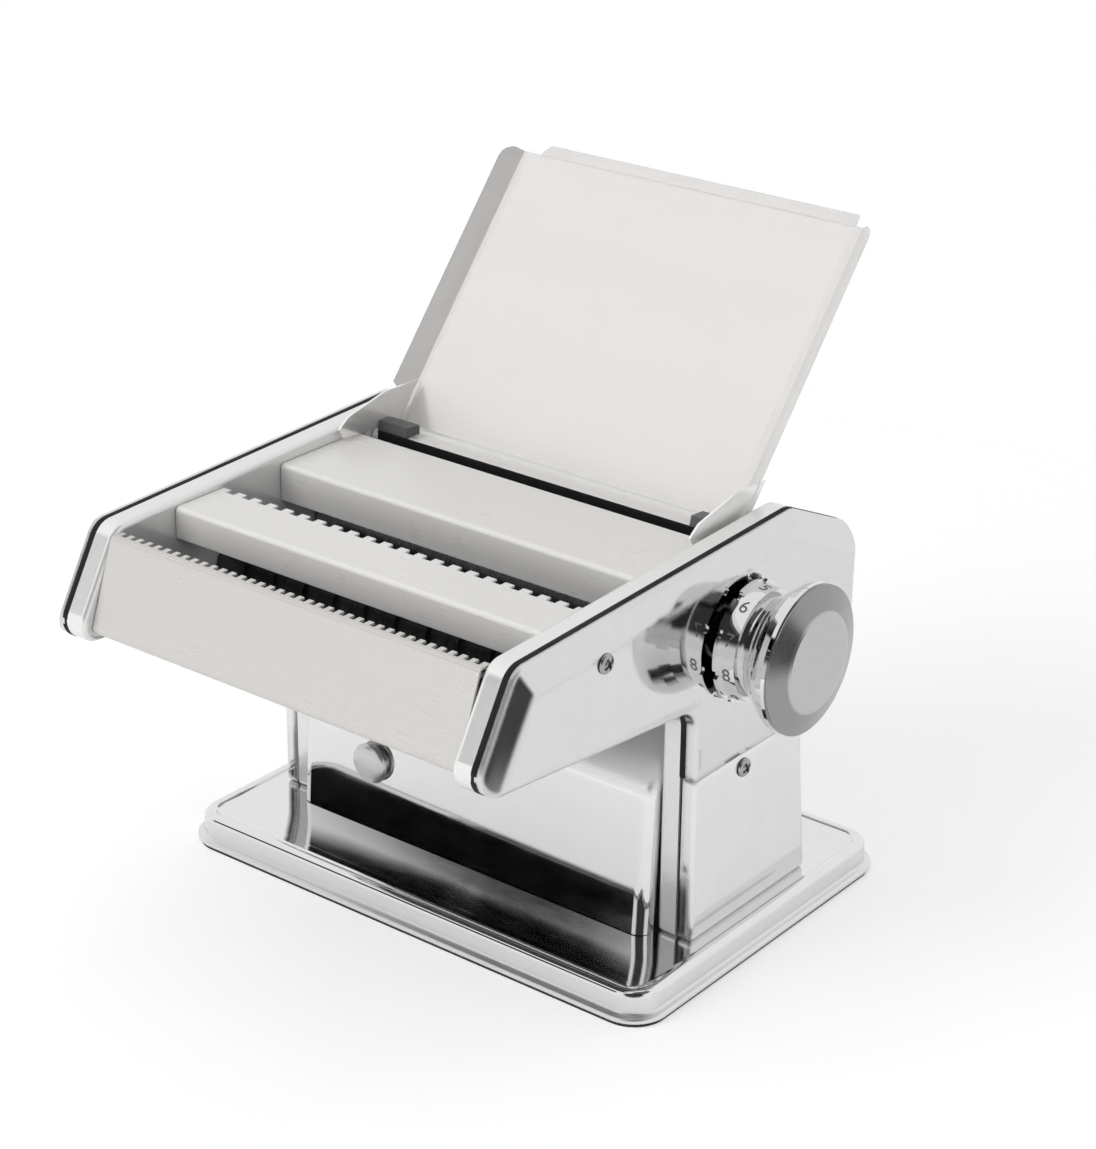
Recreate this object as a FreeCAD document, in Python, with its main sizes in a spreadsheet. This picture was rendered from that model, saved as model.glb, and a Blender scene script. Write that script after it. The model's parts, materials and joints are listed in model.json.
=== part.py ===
import FreeCAD, Part
import math
import os
import re

import Sketcher
from FreeCAD import Placement, Rotation, Vector

# A hand cranked pasta machine: two smooth rollers with a thickness regulator, two pairs of
# cutters, a lift-out dough tray and a pressed steel stand.
# Millimetres. +X is the regulator side, -Y the front with the cutters, +Z up.
# The origin is on the table under the middle of the base.

doc = FreeCAD.newDocument("pasta_machine")
sheet = doc.addObject("Spreadsheet::Sheet", "sizes")

SIZES = {
    # Sheet metal and fits
    "plate": 1.0,
    "panel_gauge": 0.8,
    "running_fit": 0.05,
    "seat_gap": 0.3,
    # Base tray and its pad
    "base_length": 201.0,
    "base_depth": 145.0,
    "base_corner": 13.0,
    "base_rim": 2.5,
    "pad_height": 1.2,
    "flange_height": 3.4,
    "bead_height": 11.7,
    "deck_height": 10.6,
    "bead_width": 5.0,
    # Side frames and covers, seen along X
    "frame_reach": 7.5,
    "cover_gap": 1.2,
    "cover_rise": 4.8,
    "base_margin": 11.5,
    "nose_low_y": -142.0,
    "nose_low_drop": 6.7,
    "nose_top_y": -121.6,
    "nose_top_rise": 28.9,
    "ridge_y": 22.0,
    "ridge_rise": 33.7,
    "rear_y": 58.5,
    "rear_top_rise": 17.5,
    "rear_low_drop": 29.5,
    "waist_y": 30.0,
    "waist_z": 68.0,
    "leg_rear_y": 37.5,
    "leg_front_y": -30.5,
    "arm_root_y": -32.0,
    "arm_root_drop": 17.3,
    "nose_low_round": 7.0,
    "nose_top_round": 8.0,
    "ridge_round": 10.0,
    "rear_top_round": 13.0,
    "rear_low_round": 6.0,
    "waist_round": 10.0,
    "foot_round": 2.0,
    "arm_root_round": 9.0,
    "edge_round": 2.0,
    "cover_edge_round": 1.2,
    "shoulder_width": 9.5,
    "shoulder_drop": 2.8,
    "leg_seam_z": 70.5,
    "seam_gap": 0.4,
    # Panels across the machine
    "panel_rise": 27.7,
    "front_panel_rise": 26.7,
    "slot_y": -1.8,
    "slot_width": 6.0,
    "lip_depth": 6.5,
    "wall_one_y": -45.3,
    "wall_one_depth": 13.0,
    "wide_comb_y": -75.5,
    "wall_two_y": -95.3,
    "wall_two_depth": 10.8,
    "fine_comb_y": -122.0,
    "comb_depth": 2.6,
    "wide_pitch": 7.0,
    "fine_pitch": 4.0,
    "lip_round": 2.2,
    "wall_round": 1.6,
    "front_edge_y": -124.0,
    "front_foot_y": -134.5,
    "front_foot_drop": 3.5,
    "front_return": 5.6,
    "rear_lip_rise": 26.9,
    "crown_y": 16.0,
    "crown_rise": 24.7,
    "shoulder_y": 49.0,
    "shoulder_rise": 14.7,
    "rear_face_y": 55.0,
    "rear_face_rise": 6.5,
    "rear_face_drop": 26.5,
    "crown_round": 8.0,
    "back_panel_drop": 29.9,
    "chute_round": 10.0,
    "chute_foot_y": -38.0,
    "chute_bend_z": 62.0,
    "chute_top_y": 6.0,
    "chute_top_drop": 23.5,
    "back_panel_y": 26.0,
    "button_radius": 7.4,
    "button_x": -42.0,
    "button_z": 36.3,
    "clamp_bore": 5.0,
    "clamp_z": 38.0,
    # Smooth rollers
    "roller_radius": 14.0,
    "roller_drop": 0.9,
    "end_play": 0.5,
    "widest_gap": 3.0,
    "roller_travel": 2.6,
    "journal_radius": 5.0,
    # Cutters
    "cutter_play": 0.3,
    "wide_cut": 6.5,
    "wide_radius": 9.6,
    "wide_spacing": 18.0,
    "wide_nip_y": -60.6,
    "wide_z": 113.5,
    "fine_cut": 2.0,
    "fine_radius": 8.6,
    "fine_spacing": 16.0,
    "fine_nip_y": -109.0,
    "fine_rise": 3.0,
    "cut_overlap": 1.2,
    "blade_clear": 0.3,
    "cutter_journal": 4.4,
    # Gears between the left frame and its cover
    "gear_stand": 4.9,
    "gear_width": 4.4,
    "roller_tooth_tip": 17.0,
    "roller_tooth_root": 11.1,
    "socket_bore": 3.2,
    "socket_depth": 9.0,
    "socket_slot": 2.4,
    "socket_rim": 4.4,
    "roller_edge": 0.8,
    "roller_teeth_root_width": 3.0,
    "roller_teeth_tip_width": 1.0,
    "wide_tooth_tip": 10.3,
    "wide_tooth_root": 7.4,
    "fine_tooth_tip": 9.1,
    "fine_tooth_root": 6.6,
    "cutter_tooth_root_width": 2.3,
    "cutter_tooth_tip_width": 0.9,
    "shaft_inset": 1.4,
    "crank_hole": 8.0,
    # Regulator
    "knob_y": -7.8,
    "knob_drop": 0.9,
    "knob_shaft": 5.0,
    "cam_radius": 18.0,
    "cam_stand": 6.7,
    "cam_width": 3.0,
    "cam_rest_radius": 14.0,
    "cam_turn": 240.0,
    "follower_radius": 1.9,
    "groove_clear": 0.35,
    "knob_push": 1.8,
    "knob_ring": 20.5,
    "knob_rim": 25.4,
    "knob_reach": 22.7,
    "knob_bevel": 3.7,
    "knob_disc": 15.9,
    "knob_bush_wall": 3.0,
    "knob_ring_width": 1.2,
    "knob_collar": 18.8,
    "knob_neck": 16.5,
    "shaft_reach": 17.9,
    "notch_radius": 1.6,
    "index_radius": 1.1,
    "index_height": 1.5,
    "index_angle": 74.0,
    # Bearing blocks of the adjustable roller
    "block_stand": 1.4,
    "block_width": 3.1,
    "block_height": 24.0,
    "block_front_y": 3.2,
    "block_rear_y": 35.0,
    "tie_y": 30.4,
    "tie_drop": 9.6,
    "tie_radius": 3.0,
    "rail_height": 2.5,
    # Fasteners and rods
    "rod_radius": 3.5,
    "rod_end_radius": 2.3,
    "screw_head": 3.3,
    "screw_shank": 1.5,
    "screw_length": 6.0,
    "screw_rise": 1.9,
    "rivet_head": 1.0,
    "bush_wall": 2.0,
    "bush_length": 3.6,
    "upper_screw_y": -82.0,
    "upper_screw_rise": 17.3,
    "lower_screw_y": -4.0,
    "lower_screw_z": 65.0,
    "rear_rod_y": 46.0,
    "rear_rod_rise": 4.5,
    # Dough tray
    "tray_y": 15.0,
    "tray_rise": 26.1,
    "tray_tilt": 50.3,
    "tray_inset": 9.5,
    "tray_length": 108.3,
    "rim_reach": 7.8,
    "rim_rise": 3.6,
    "lip_length": 6.0,
    "lip_bend": 25.0,
    "rim_bend": 2.0,
    "guide_inset": 15.5,
    "guide_length": 12.6,
    "guide_rear_y": 9.0,
    "guide_rise": 3.6,
    "scraper_reach": 9.0,
    "stripper_reach": 3.3,
    "blade_tip": 0.4,
}

# Places that follow from the sizes: across the machine from the base outwards in, and the head's
# heights from the wide cutters' axis

DRIVEN = {
    "cover_face": "base_length/2-base_margin",
    "wall_inside": "cover_face-cover_rise-cover_gap-frame_reach",
    "roller_length": "2*(wall_inside-end_play)",
    "cutter_length": "2*(wall_inside-cutter_play)",
    "block_inner_x": "wall_inside+block_stand",
    "gear_inner_x": "wall_inside+gear_stand",
    "shaft_end_x": "cover_face-shaft_inset",
    "cam_inner_x": "wall_inside+cam_stand",
    "knob_back_x": "cover_face+knob_push+seat_gap",
    "knob_rim_x": "knob_back_x+knob_reach",
    "knob_face_x": "knob_rim_x+knob_bevel",
    "shaft_tip_x": "knob_back_x+shaft_reach",
    "tray_half": "wall_inside-tray_inset",
    "guide_inner_x": "wall_inside-guide_inset",
    "nose_low_z": "wide_z-nose_low_drop",
    "nose_top_z": "wide_z+nose_top_rise",
    "ridge_z": "wide_z+ridge_rise",
    "rear_top_z": "wide_z+rear_top_rise",
    "rear_low_z": "wide_z-rear_low_drop",
    "arm_root_z": "wide_z-arm_root_drop",
    "panel_z": "wide_z+panel_rise",
    "front_panel_z": "wide_z+front_panel_rise",
    "front_foot_z": "wide_z-front_foot_drop",
    "rear_lip_z": "wide_z+rear_lip_rise",
    "crown_z": "wide_z+crown_rise",
    "shoulder_z": "wide_z+shoulder_rise",
    "rear_face_top_z": "wide_z+rear_face_rise",
    "rear_face_low_z": "wide_z-rear_face_drop",
    "back_panel_z": "wide_z-back_panel_drop",
    "chute_top_z": "wide_z-chute_top_drop",
    "roller_z": "wide_z-roller_drop",
    "fine_z": "wide_z+fine_rise",
    "knob_z": "wide_z-knob_drop",
    "tie_z": "wide_z-tie_drop",
    "upper_screw_z": "wide_z+upper_screw_rise",
    "rear_rod_z": "wide_z+rear_rod_rise",
    "tray_z": "wide_z+tray_rise",
}

for row, (name, value) in enumerate([*SIZES.items(), *DRIVEN.items()], start=1):
    sheet.set("A%d" % row, name)
    sheet.set("B%d" % row, "=" + value if name in DRIVEN else str(value))
    sheet.setAlias("B%d" % row, name)
doc.recompute()

NAMES = {*SIZES, *DRIVEN}


def bound(text):
    """The expression text with each size read from the sheet."""
    return re.sub(r"[a-z_]+", lambda m: "sizes." + m.group(0) if m.group(0) in NAMES else m.group(0), text)


def size(text):
    """The present value of an expression in the sheet's sizes."""
    result = sheet.evalExpression(bound(text))
    return float(getattr(result, "Value", result))


# Places worked out from the sizes

FIXED_ROLLER_Y = "(slot_y-roller_radius)"
REST_ROLLER_Y = "(slot_y+roller_radius+widest_gap)"
WIDE_FRONT_Y = "(wide_nip_y-wide_spacing/2)"
WIDE_REAR_Y = "(wide_nip_y+wide_spacing/2)"
FINE_FRONT_Y = "(fine_nip_y-fine_spacing/2)"
FINE_REAR_Y = "(fine_nip_y+fine_spacing/2)"
WALL_OUTSIDE = "(wall_inside+plate)"

# The shafts that turn in bushes: place and journal

BUSHED = [
    (FIXED_ROLLER_Y, "roller_z", "journal_radius"),
    (WIDE_FRONT_Y, "wide_z", "cutter_journal"),
    (WIDE_REAR_Y, "wide_z", "cutter_journal"),
    (FINE_FRONT_Y, "fine_z", "cutter_journal"),
    (FINE_REAR_Y, "fine_z", "cutter_journal"),
]

# Drawing helpers

PLANES = {"side": "YZ_Plane", "front": "XZ_Plane", "top": "XY_Plane"}


def new_body(name):
    """An empty piece whose label names its file."""
    body = doc.addObject("PartDesign::Body", name)
    body.Label = name
    return body


def new_sketch(body, plane, origin=("0", "0", "0")):
    """A sketch on one of the piece's own planes, its origin moved to u, v and lift along the normal."""
    support = [part for part in body.Origin.OriginFeatures if part.Role == PLANES[plane]][0]
    sketch = body.newObject("Sketcher::SketchObject", body.Name + "_sketch")
    sketch.AttachmentSupport = [(support, "")]
    sketch.MapMode = "FlatFace"
    for axis, text in zip("xyz", origin):
        sketch.setExpression("AttachmentOffset.Base." + axis, bound(text))
    return sketch


def fix_point(sketch, item, end, u, v):
    """Ties one point of a sketch to two sizes."""
    for kind, text in (("DistanceX", u), ("DistanceY", v)):
        place = sketch.addConstraint(Sketcher.Constraint(kind, -1, 1, item, end, size(text)))
        sketch.setExpression("Constraints[%d]" % place, bound(text))


def draw_outline(sketch, corners):
    """A closed outline of straight runs through corners given as pairs of expressions."""
    spots = [Vector(size(u), size(v), 0) for u, v in corners]
    first = sketch.GeometryCount
    count = len(spots)
    for k in range(count):
        sketch.addGeometry(Part.LineSegment(spots[k], spots[(k + 1) % count]), False)
    for k in range(count):
        sketch.addConstraint(Sketcher.Constraint("Coincident", first + k, 2, first + (k + 1) % count, 1))
    for k, (u, v) in enumerate(corners):
        fix_point(sketch, first + k, 1, u, v)
    return sketch


def draw_circle(sketch, u, v, radius):
    """A circle with its centre and radius tied to sizes."""
    item = sketch.addGeometry(Part.Circle(Vector(size(u), size(v), 0), Vector(0, 0, 1), size(radius)), False)
    fix_point(sketch, item, 3, u, v)
    place = sketch.addConstraint(Sketcher.Constraint("Radius", item, size(radius)))
    sketch.setExpression("Constraints[%d]" % place, bound(radius))
    return sketch


def draw_box(sketch, u_low, v_low, u_high, v_high):
    """A rectangle between two opposite corners."""
    return draw_outline(sketch, [(u_low, v_low), (u_high, v_low), (u_high, v_high), (u_low, v_high)])


def draw_inset(sketch, corners, insets):
    """A closed outline inside another; side k lies insets[k] from side k of the outer one."""
    outer = sketch.GeometryCount
    draw_outline(sketch, corners)
    count = len(corners)
    spots = [Vector(size(u), size(v), 0) for u, v in corners]
    sides = []
    for k in range(count):
        sketch.setConstruction(outer + k, True)
        run = (spots[(k + 1) % count] - spots[k]).normalize()
        sides.append((spots[k] + Vector(-run.y, run.x, 0) * -size(insets[k]), run))
    inner = []
    for k in range(count):
        (p, a), (q, b) = sides[k - 1], sides[k]
        along = ((q - p).x * b.y - (q - p).y * b.x) / (a.x * b.y - a.y * b.x)
        inner.append(p + a * along)
    first = sketch.GeometryCount
    for k in range(count):
        sketch.addGeometry(Part.LineSegment(inner[k], inner[(k + 1) % count]), False)
    for k in range(count):
        sketch.addConstraint(Sketcher.Constraint("Coincident", first + k, 2, first + (k + 1) % count, 1))
    for k in range(count):
        for neighbour in ((k - 1) % count, k):
            place = sketch.addConstraint(
                Sketcher.Constraint("Distance", first + k, 1, outer + neighbour, size(insets[neighbour])))
            sketch.setExpression("Constraints[%d]" % place, bound(insets[neighbour]))
    return inner


def draw_strip(sketch, path, gauge, left):
    """The edge of a bent sheet: a path of corners and a second path one gauge to its left or right."""
    spots = [Vector(size(u), size(v), 0) for u, v in path]
    count = len(spots)
    across = 1 if left else -1
    runs = [(spots[k + 1] - spots[k]).normalize() for k in range(count - 1)]
    normals = [Vector(-run.y, run.x, 0) * across for run in runs]
    thick = size(gauge)
    far = [spots[0] + normals[0] * thick]
    for a, b, spot in zip(normals, normals[1:], spots[1:]):
        far.append(spot + (a + b) * (thick / (1 + a.dot(b))))
    far.append(spots[-1] + normals[-1] * thick)
    loop = spots + far[::-1]
    first = sketch.GeometryCount
    total = len(loop)
    for k in range(total):
        sketch.addGeometry(Part.LineSegment(loop[k], loop[(k + 1) % total]), False)
    for k in range(total):
        sketch.addConstraint(Sketcher.Constraint("Coincident", first + k, 2, first + (k + 1) % total, 1))
    for k, (u, v) in enumerate(path):
        fix_point(sketch, first + k, 1, u, v)
    for k in range(count):
        for run in (k - 1, k):
            if 0 <= run < count - 1:
                place = sketch.addConstraint(
                    Sketcher.Constraint("Distance", first + total - 1 - k, 1, first + run, thick))
                sketch.setExpression("Constraints[%d]" % place, bound(gauge))
    sketch.addConstraint(Sketcher.Constraint("Perpendicular", first + count - 1, first + count - 2))
    sketch.addConstraint(Sketcher.Constraint("Perpendicular", first + total - 1, first))
    bends = []
    for k in range(1, count - 1):
        convex = runs[k - 1].cross(runs[k]).z * across > 0
        bends.append((spots[k], far[k]) if convex else (far[k], spots[k]))
    return bends


def pad(body, sketch, length, backwards=False, both=False):
    """Pads a sketch by an expression's length, one way or both ways from its plane."""
    feature = body.newObject("PartDesign::Pad", body.Name + "_pad")
    feature.Profile = sketch
    feature.setExpression("Length", bound(length))
    feature.Reversed = backwards
    if both:
        feature.SideType = "Symmetric"
    doc.recompute()
    return feature


def pocket(body, sketch, length, backwards=False, both=False):
    """Cuts a sketch out of a piece, and stops if nothing was cut."""
    before = body.Shape.Volume
    feature = body.newObject("PartDesign::Pocket", body.Name + "_pocket")
    feature.Profile = sketch
    feature.setExpression("Length", bound(length))
    feature.Reversed = backwards
    if both:
        feature.SideType = "Symmetric"
    doc.recompute()
    if body.Shape.Volume > before - 1e-6:
        raise RuntimeError(body.Name + ": a pocket cut nothing")
    return feature


def turn(body, y, z, profile):
    """Turns a profile of (x, radius) corners about an axis along X through y and z."""
    sketch = draw_outline(new_sketch(body, "top", ("0", y, z)), profile)
    feature = body.newObject("PartDesign::Revolution", body.Name + "_turned")
    feature.Profile = sketch
    feature.ReferenceAxis = (sketch, ["H_Axis"])
    feature.Angle = 360
    doc.recompute()
    return feature


def polar(body, feature, sketch, count, angle="360"):
    """Repeats a feature about the sketch's normal."""
    pattern = body.newObject("PartDesign::PolarPattern", body.Name + "_ring")
    pattern.Originals = [feature]
    pattern.Axis = (sketch, ["N_Axis"])
    pattern.Angle = size(angle)
    pattern.Occurrences = count
    body.Tip = pattern
    doc.recompute()
    return pattern


def linear(body, feature, sketch, axis, length, count):
    """Repeats a feature along one of the sketch's axes."""
    pattern = body.newObject("PartDesign::LinearPattern", body.Name + "_row")
    pattern.Originals = [feature]
    pattern.Direction = (sketch, [axis])
    pattern.Length = length
    pattern.Occurrences = count
    body.Tip = pattern
    doc.recompute()
    return pattern


def straight_edges(shape, axis, spots):
    """Names of the edges along an axis that pass through any of the spots."""
    names = []
    for number, edge in enumerate(shape.Edges, start=1):
        if len(edge.Vertexes) < 2 or not hasattr(edge.Curve, "Direction"):
            continue
        if abs(abs(edge.Curve.Direction.dot(axis)) - 1) > 1e-6:
            continue
        if any(edge.distToShape(Part.Vertex(spot))[0] < 1e-4 for spot in spots):
            names.append("Edge%d" % number)
    return names


def round_edges(body, names, radius):
    """Rounds the named edges of the piece as it stands."""
    feature = body.newObject("PartDesign::Fillet", body.Name + "_round")
    feature.Base = (feature.BaseFeature, names)
    feature.setExpression("Radius", bound(radius))
    body.Tip = feature
    doc.recompute()
    return feature


def hollow(body, names, gauge):
    """Leaves a sheet of one gauge, open at the named faces."""
    feature = body.newObject("PartDesign::Thickness", body.Name + "_sheet")
    feature.Base = (feature.BaseFeature, names)
    feature.Reversed = True
    feature.setExpression("Value", bound(gauge))
    body.Tip = feature
    doc.recompute()
    return feature


def face_names(shape, test):
    """Names of the faces that pass a test."""
    return ["Face%d" % number for number, face in enumerate(shape.Faces, start=1) if test(face)]


def edge_names(shape, test):
    """Names of the edges that pass a test."""
    return ["Edge%d" % number for number, edge in enumerate(shape.Edges, start=1) if test(edge)]


# The stand: a pressed tray on a thin non-slip pad

def make_base():
    body = new_body("base_plate")
    half_x, half_y = "base_length/2", "base_depth/2"
    upright = Vector(0, 0, 1)

    def corner_spots(inset, z):
        x, y = size(half_x + "-" + inset), size(half_y + "-" + inset)
        return [Vector(sx * x, sy * y, size(z)) for sx in (-1, 1) for sy in (-1, 1)]

    def tray_pad(low, high, inset):
        sketch = new_sketch(body, "top", ("0", "0", low))
        draw_box(sketch, "-(%s)+%s" % (half_x, inset), "-(%s)+%s" % (half_y, inset),
                 half_x + "-" + inset, half_y + "-" + inset)
        pad(body, sketch, high + "-" + low)

    tray_pad("pad_height", "flange_height", "0")
    tray_pad("flange_height", "bead_height", "base_rim")
    # The upper tier is rounded first, while the flange below it still has square corners
    for inset, z in (("base_rim", "0.5*(flange_height+bead_height)"), ("0", "0.5*(pad_height+flange_height)")):
        round_edges(body, straight_edges(body.Shape, upright, corner_spots(inset, z)), "base_corner-" + inset)
    top = size("bead_height")
    round_edges(body, edge_names(body.Shape, lambda e: e.BoundBox.ZMin > top - 1e-4), "bead_width*0.45")
    deck = new_sketch(body, "top", ("0", "0", "bead_height"))
    inset = "(base_rim+bead_width)"
    draw_box(deck, "-(%s)+%s" % (half_x, inset), "-(%s)+%s" % (half_y, inset),
             half_x + "-" + inset, half_y + "-" + inset)
    pocket(body, deck, "bead_height-deck_height")
    spots = corner_spots(inset, "0.5*(bead_height+deck_height)")
    round_edges(body, straight_edges(body.Shape, upright, spots), "base_corner-" + inset)
    # The pressing is hollow underneath
    below = new_sketch(body, "top", ("0", "0", "pad_height"))
    inset = "(base_rim+2*plate)"
    draw_box(below, "-(%s)+%s" % (half_x, inset), "-(%s)+%s" % (half_y, inset),
             half_x + "-" + inset, half_y + "-" + inset)
    pocket(body, below, "deck_height-plate-pad_height", backwards=True)
    return body


def make_base_pad():
    body = new_body("base_pad")
    sketch = new_sketch(body, "top")
    draw_box(sketch, "-base_length/2+plate", "-base_depth/2+plate", "base_length/2-plate", "base_depth/2-plate")
    pad(body, sketch, "pad_height")
    spots = [Vector(sx * size("base_length/2-plate"), sy * size("base_depth/2-plate"), 0)
             for sx in (-1, 1) for sy in (-1, 1)]
    round_edges(body, straight_edges(body.Shape, Vector(0, 0, 1), spots), "base_corner-plate")
    return body


# The side outline, shared by the frames and their covers: the nose, the ridge and the leg

OUTLINE = [
    ("nose_low_y", "nose_low_z", "nose_low_round"),
    ("nose_top_y", "nose_top_z", "nose_top_round"),
    ("ridge_y", "ridge_z", "ridge_round"),
    ("rear_y", "rear_top_z", "rear_top_round"),
    ("rear_y", "rear_low_z", "rear_low_round"),
    ("waist_y", "waist_z", "waist_round"),
    ("leg_rear_y", "deck_height", "foot_round"),
    ("leg_front_y", "deck_height", "foot_round"),
    ("arm_root_y", "arm_root_z", "arm_root_round"),
]


def side_slab(body, side, near, depth):
    """The outline padded outwards from x = near, with its corners rounded; side is 1 or -1."""
    lift = near if side > 0 else "-(%s)" % near
    sketch = new_sketch(body, "side", ("0", "0", lift))
    draw_outline(sketch, [(y, z) for y, z, radius in OUTLINE])
    pad(body, sketch, depth, backwards=side < 0)
    middle = side * size("%s+(%s)/2" % (near, depth))
    for radius in sorted({corner[2] for corner in OUTLINE}):
        spots = [Vector(middle, size(y), size(z)) for y, z, own in OUTLINE if own == radius]
        round_edges(body, straight_edges(body.Shape, Vector(1, 0, 0), spots), radius)


def make_frame(name, side, holes):
    """An inner side frame: a wall with its rim turned outwards, and the holes in that wall."""
    body = new_body(name)
    side_slab(body, side, "wall_inside", "frame_reach")
    inside = side * size("wall_inside")
    outside = side * size("wall_inside+frame_reach")
    hollow(body, face_names(body.Shape, lambda f: abs(f.BoundBox.XMin - outside) < 1e-4
                            and abs(f.BoundBox.XMax - outside) < 1e-4), "plate")
    round_edges(body, edge_names(body.Shape, lambda e: abs(e.BoundBox.XMin - inside) < 1e-4
                                 and abs(e.BoundBox.XMax - inside) < 1e-4), "edge_round")
    sketch = new_sketch(body, "side", ("0", "0", "wall_inside" if side > 0 else "-wall_inside"))
    for y, z, radius in holes:
        draw_circle(sketch, y, z, radius)
    pocket(body, sketch, "4*plate", both=True)
    # Slots in which the adjustable roller's journal and the tie bar travel
    for y, z, radius in ((REST_ROLLER_Y, "roller_z", "journal_radius+0.6"), ("tie_y", "tie_z", "tie_radius+0.6")):
        slot = new_sketch(body, "side", ("0", "0", "wall_inside" if side > 0 else "-wall_inside"))
        draw_box(slot, "%s-roller_travel-(%s)" % (y, radius), "%s-(%s)" % (z, radius),
                 "%s+(%s)" % (y, radius), "%s+(%s)" % (z, radius))
        pocket(body, slot, "4*plate", both=True)
    return body


def shoulder(body, side, start, end):
    """Cuts the sloping shoulder along one run of the outline, from the cover's face to its edge."""
    start, end = Vector(0, *start), Vector(0, *end)
    along = (end - start).normalize()
    inward = Vector(0, along.z, -along.y)
    outward = Vector(side, 0, 0)
    width, drop = size("shoulder_width"), size("shoulder_drop")
    slope = (inward * width + outward * drop).normalize()
    if along.cross(slope).dot(outward) < 0:
        along = -along
    away = along.cross(slope)
    middle = (start + end) * 0.5 + outward * (size("cover_face") - drop)
    box = body.newObject("PartDesign::SubtractiveBox", body.Name + "_shoulder")
    box.Length = 4 * (end - start).Length
    box.Width = 4 * width
    box.Height = width
    corner = middle - along * (box.Length.Value / 2) - slope * (2 * width)
    box.Placement = Placement(corner, Rotation(along, slope, away, "ZXY"))
    body.Tip = box
    doc.recompute()


def hollow_head(body, side, near):
    """Cuts the inside of a head cover out: shallow under the sloping shoulder, deep within it."""
    inside = new_body(body.Name + "_inside")
    corners = [(y, z) for y, z, radius in OUTLINE]
    shallow = "(cover_face-shoulder_drop-plate-%s)" % near
    runs = (["plate"] * 9, ["shoulder_width+plate"] * 3 + ["2*plate"] * 6)
    for insets, depth in zip(runs, (shallow, "cover_face-plate-" + near)):
        sketch = new_sketch(inside, "side", ("0", "0", near if side > 0 else "-(%s)" % near))
        inner = draw_inset(sketch, corners, insets)
        pad(inside, sketch, depth, backwards=side < 0)
        if insets is runs[0]:
            for k in range(5):
                spot = Vector(side * size("%s+%s/2" % (near, shallow)), inner[k].x, inner[k].y)
                round_edges(inside, straight_edges(inside.Shape, Vector(1, 0, 0), [spot]), OUTLINE[k][2] + "-plate")
    cut = body.newObject("PartDesign::Boolean", body.Name + "_hollow")
    cut.Type = 1
    cut.setObjects([inside])
    body.Tip = cut
    doc.recompute()


def make_cover(name, side, holes, upper):
    """A polished cover: a shallow pressing, the head's with a sloping shoulder round its top."""
    body = new_body(name)
    near = "(wall_inside+frame_reach+cover_gap)"
    side_slab(body, side, near, "cover_face-" + near)
    face_x = side * size("cover_face")
    round_edges(body, edge_names(body.Shape, lambda e: abs(e.BoundBox.XMin - face_x) < 1e-4
                                 and abs(e.BoundBox.XMax - face_x) < 1e-4), "cover_edge_round")
    if upper:
        vertices = [(size(y), size(z)) for y, z, radius in OUTLINE[:4]]
        for start, end in zip(vertices, vertices[1:]):
            shoulder(body, side, start, end)
        hollow_head(body, side, near)
    else:
        open_x = side * size(near)
        hollow(body, face_names(body.Shape, lambda f: abs(f.BoundBox.XMin - open_x) < 1e-4
                                and abs(f.BoundBox.XMax - open_x) < 1e-4), "plate")
    lift = "cover_face" if side > 0 else "-cover_face"
    sketch = new_sketch(body, "side", ("0", "0", lift))
    for y, z, radius in holes:
        draw_circle(sketch, y, z, radius)
    pocket(body, sketch, "4*plate", both=True)
    # The seam between head and leg
    cut = new_sketch(body, "side", ("0", "0", lift))
    if upper:
        draw_box(cut, "nose_low_y-10", "deck_height-10", "rear_y+10", "leg_seam_z")
    else:
        draw_box(cut, "nose_low_y-10", "leg_seam_z-seam_gap", "rear_y+10", "ridge_z+10")
    pocket(body, cut, "4*(cover_face-wall_inside)", both=True)
    return body


# The sheets between the frames, bent from one gauge; their paths are seen along X

PANEL_WIDTH = "2*(wall_inside-seat_gap)"


def bent_sheet(body, path, left, radii):
    """A sheet across the machine that follows a path; radii are the outside bends in order."""
    sketch = new_sketch(body, "side")
    bends = draw_strip(sketch, path, "panel_gauge", left)
    pad(body, sketch, PANEL_WIDTH, both=True)
    across = Vector(1, 0, 0)
    for (convex, hollow_side), radius in zip(bends, radii):
        for corner, own in ((convex, radius), (hollow_side, radius + "-panel_gauge")):
            if size(own) > 1e-3:
                round_edges(body, straight_edges(body.Shape, across, [Vector(0, corner.x, corner.y)]), own)
    return body


def comb(body, root, tip, lift, pitch, gap):
    """Notches in a sheet's edge that leave a row of teeth."""
    count = int(size("%s/%s" % (PANEL_WIDTH, pitch)))
    sketch = new_sketch(body, "top", ("0", "0", lift))
    start = "-%s*%g" % (pitch, (count - 1) / 2)
    draw_box(sketch, "%s-%s/2" % (start, gap), root, "%s+%s/2" % (start, gap), tip + "+1")
    notch = pocket(body, sketch, "4*panel_gauge", both=True)
    linear(body, notch, sketch, "H_Axis", size(pitch) * (count - 1), count)


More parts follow.
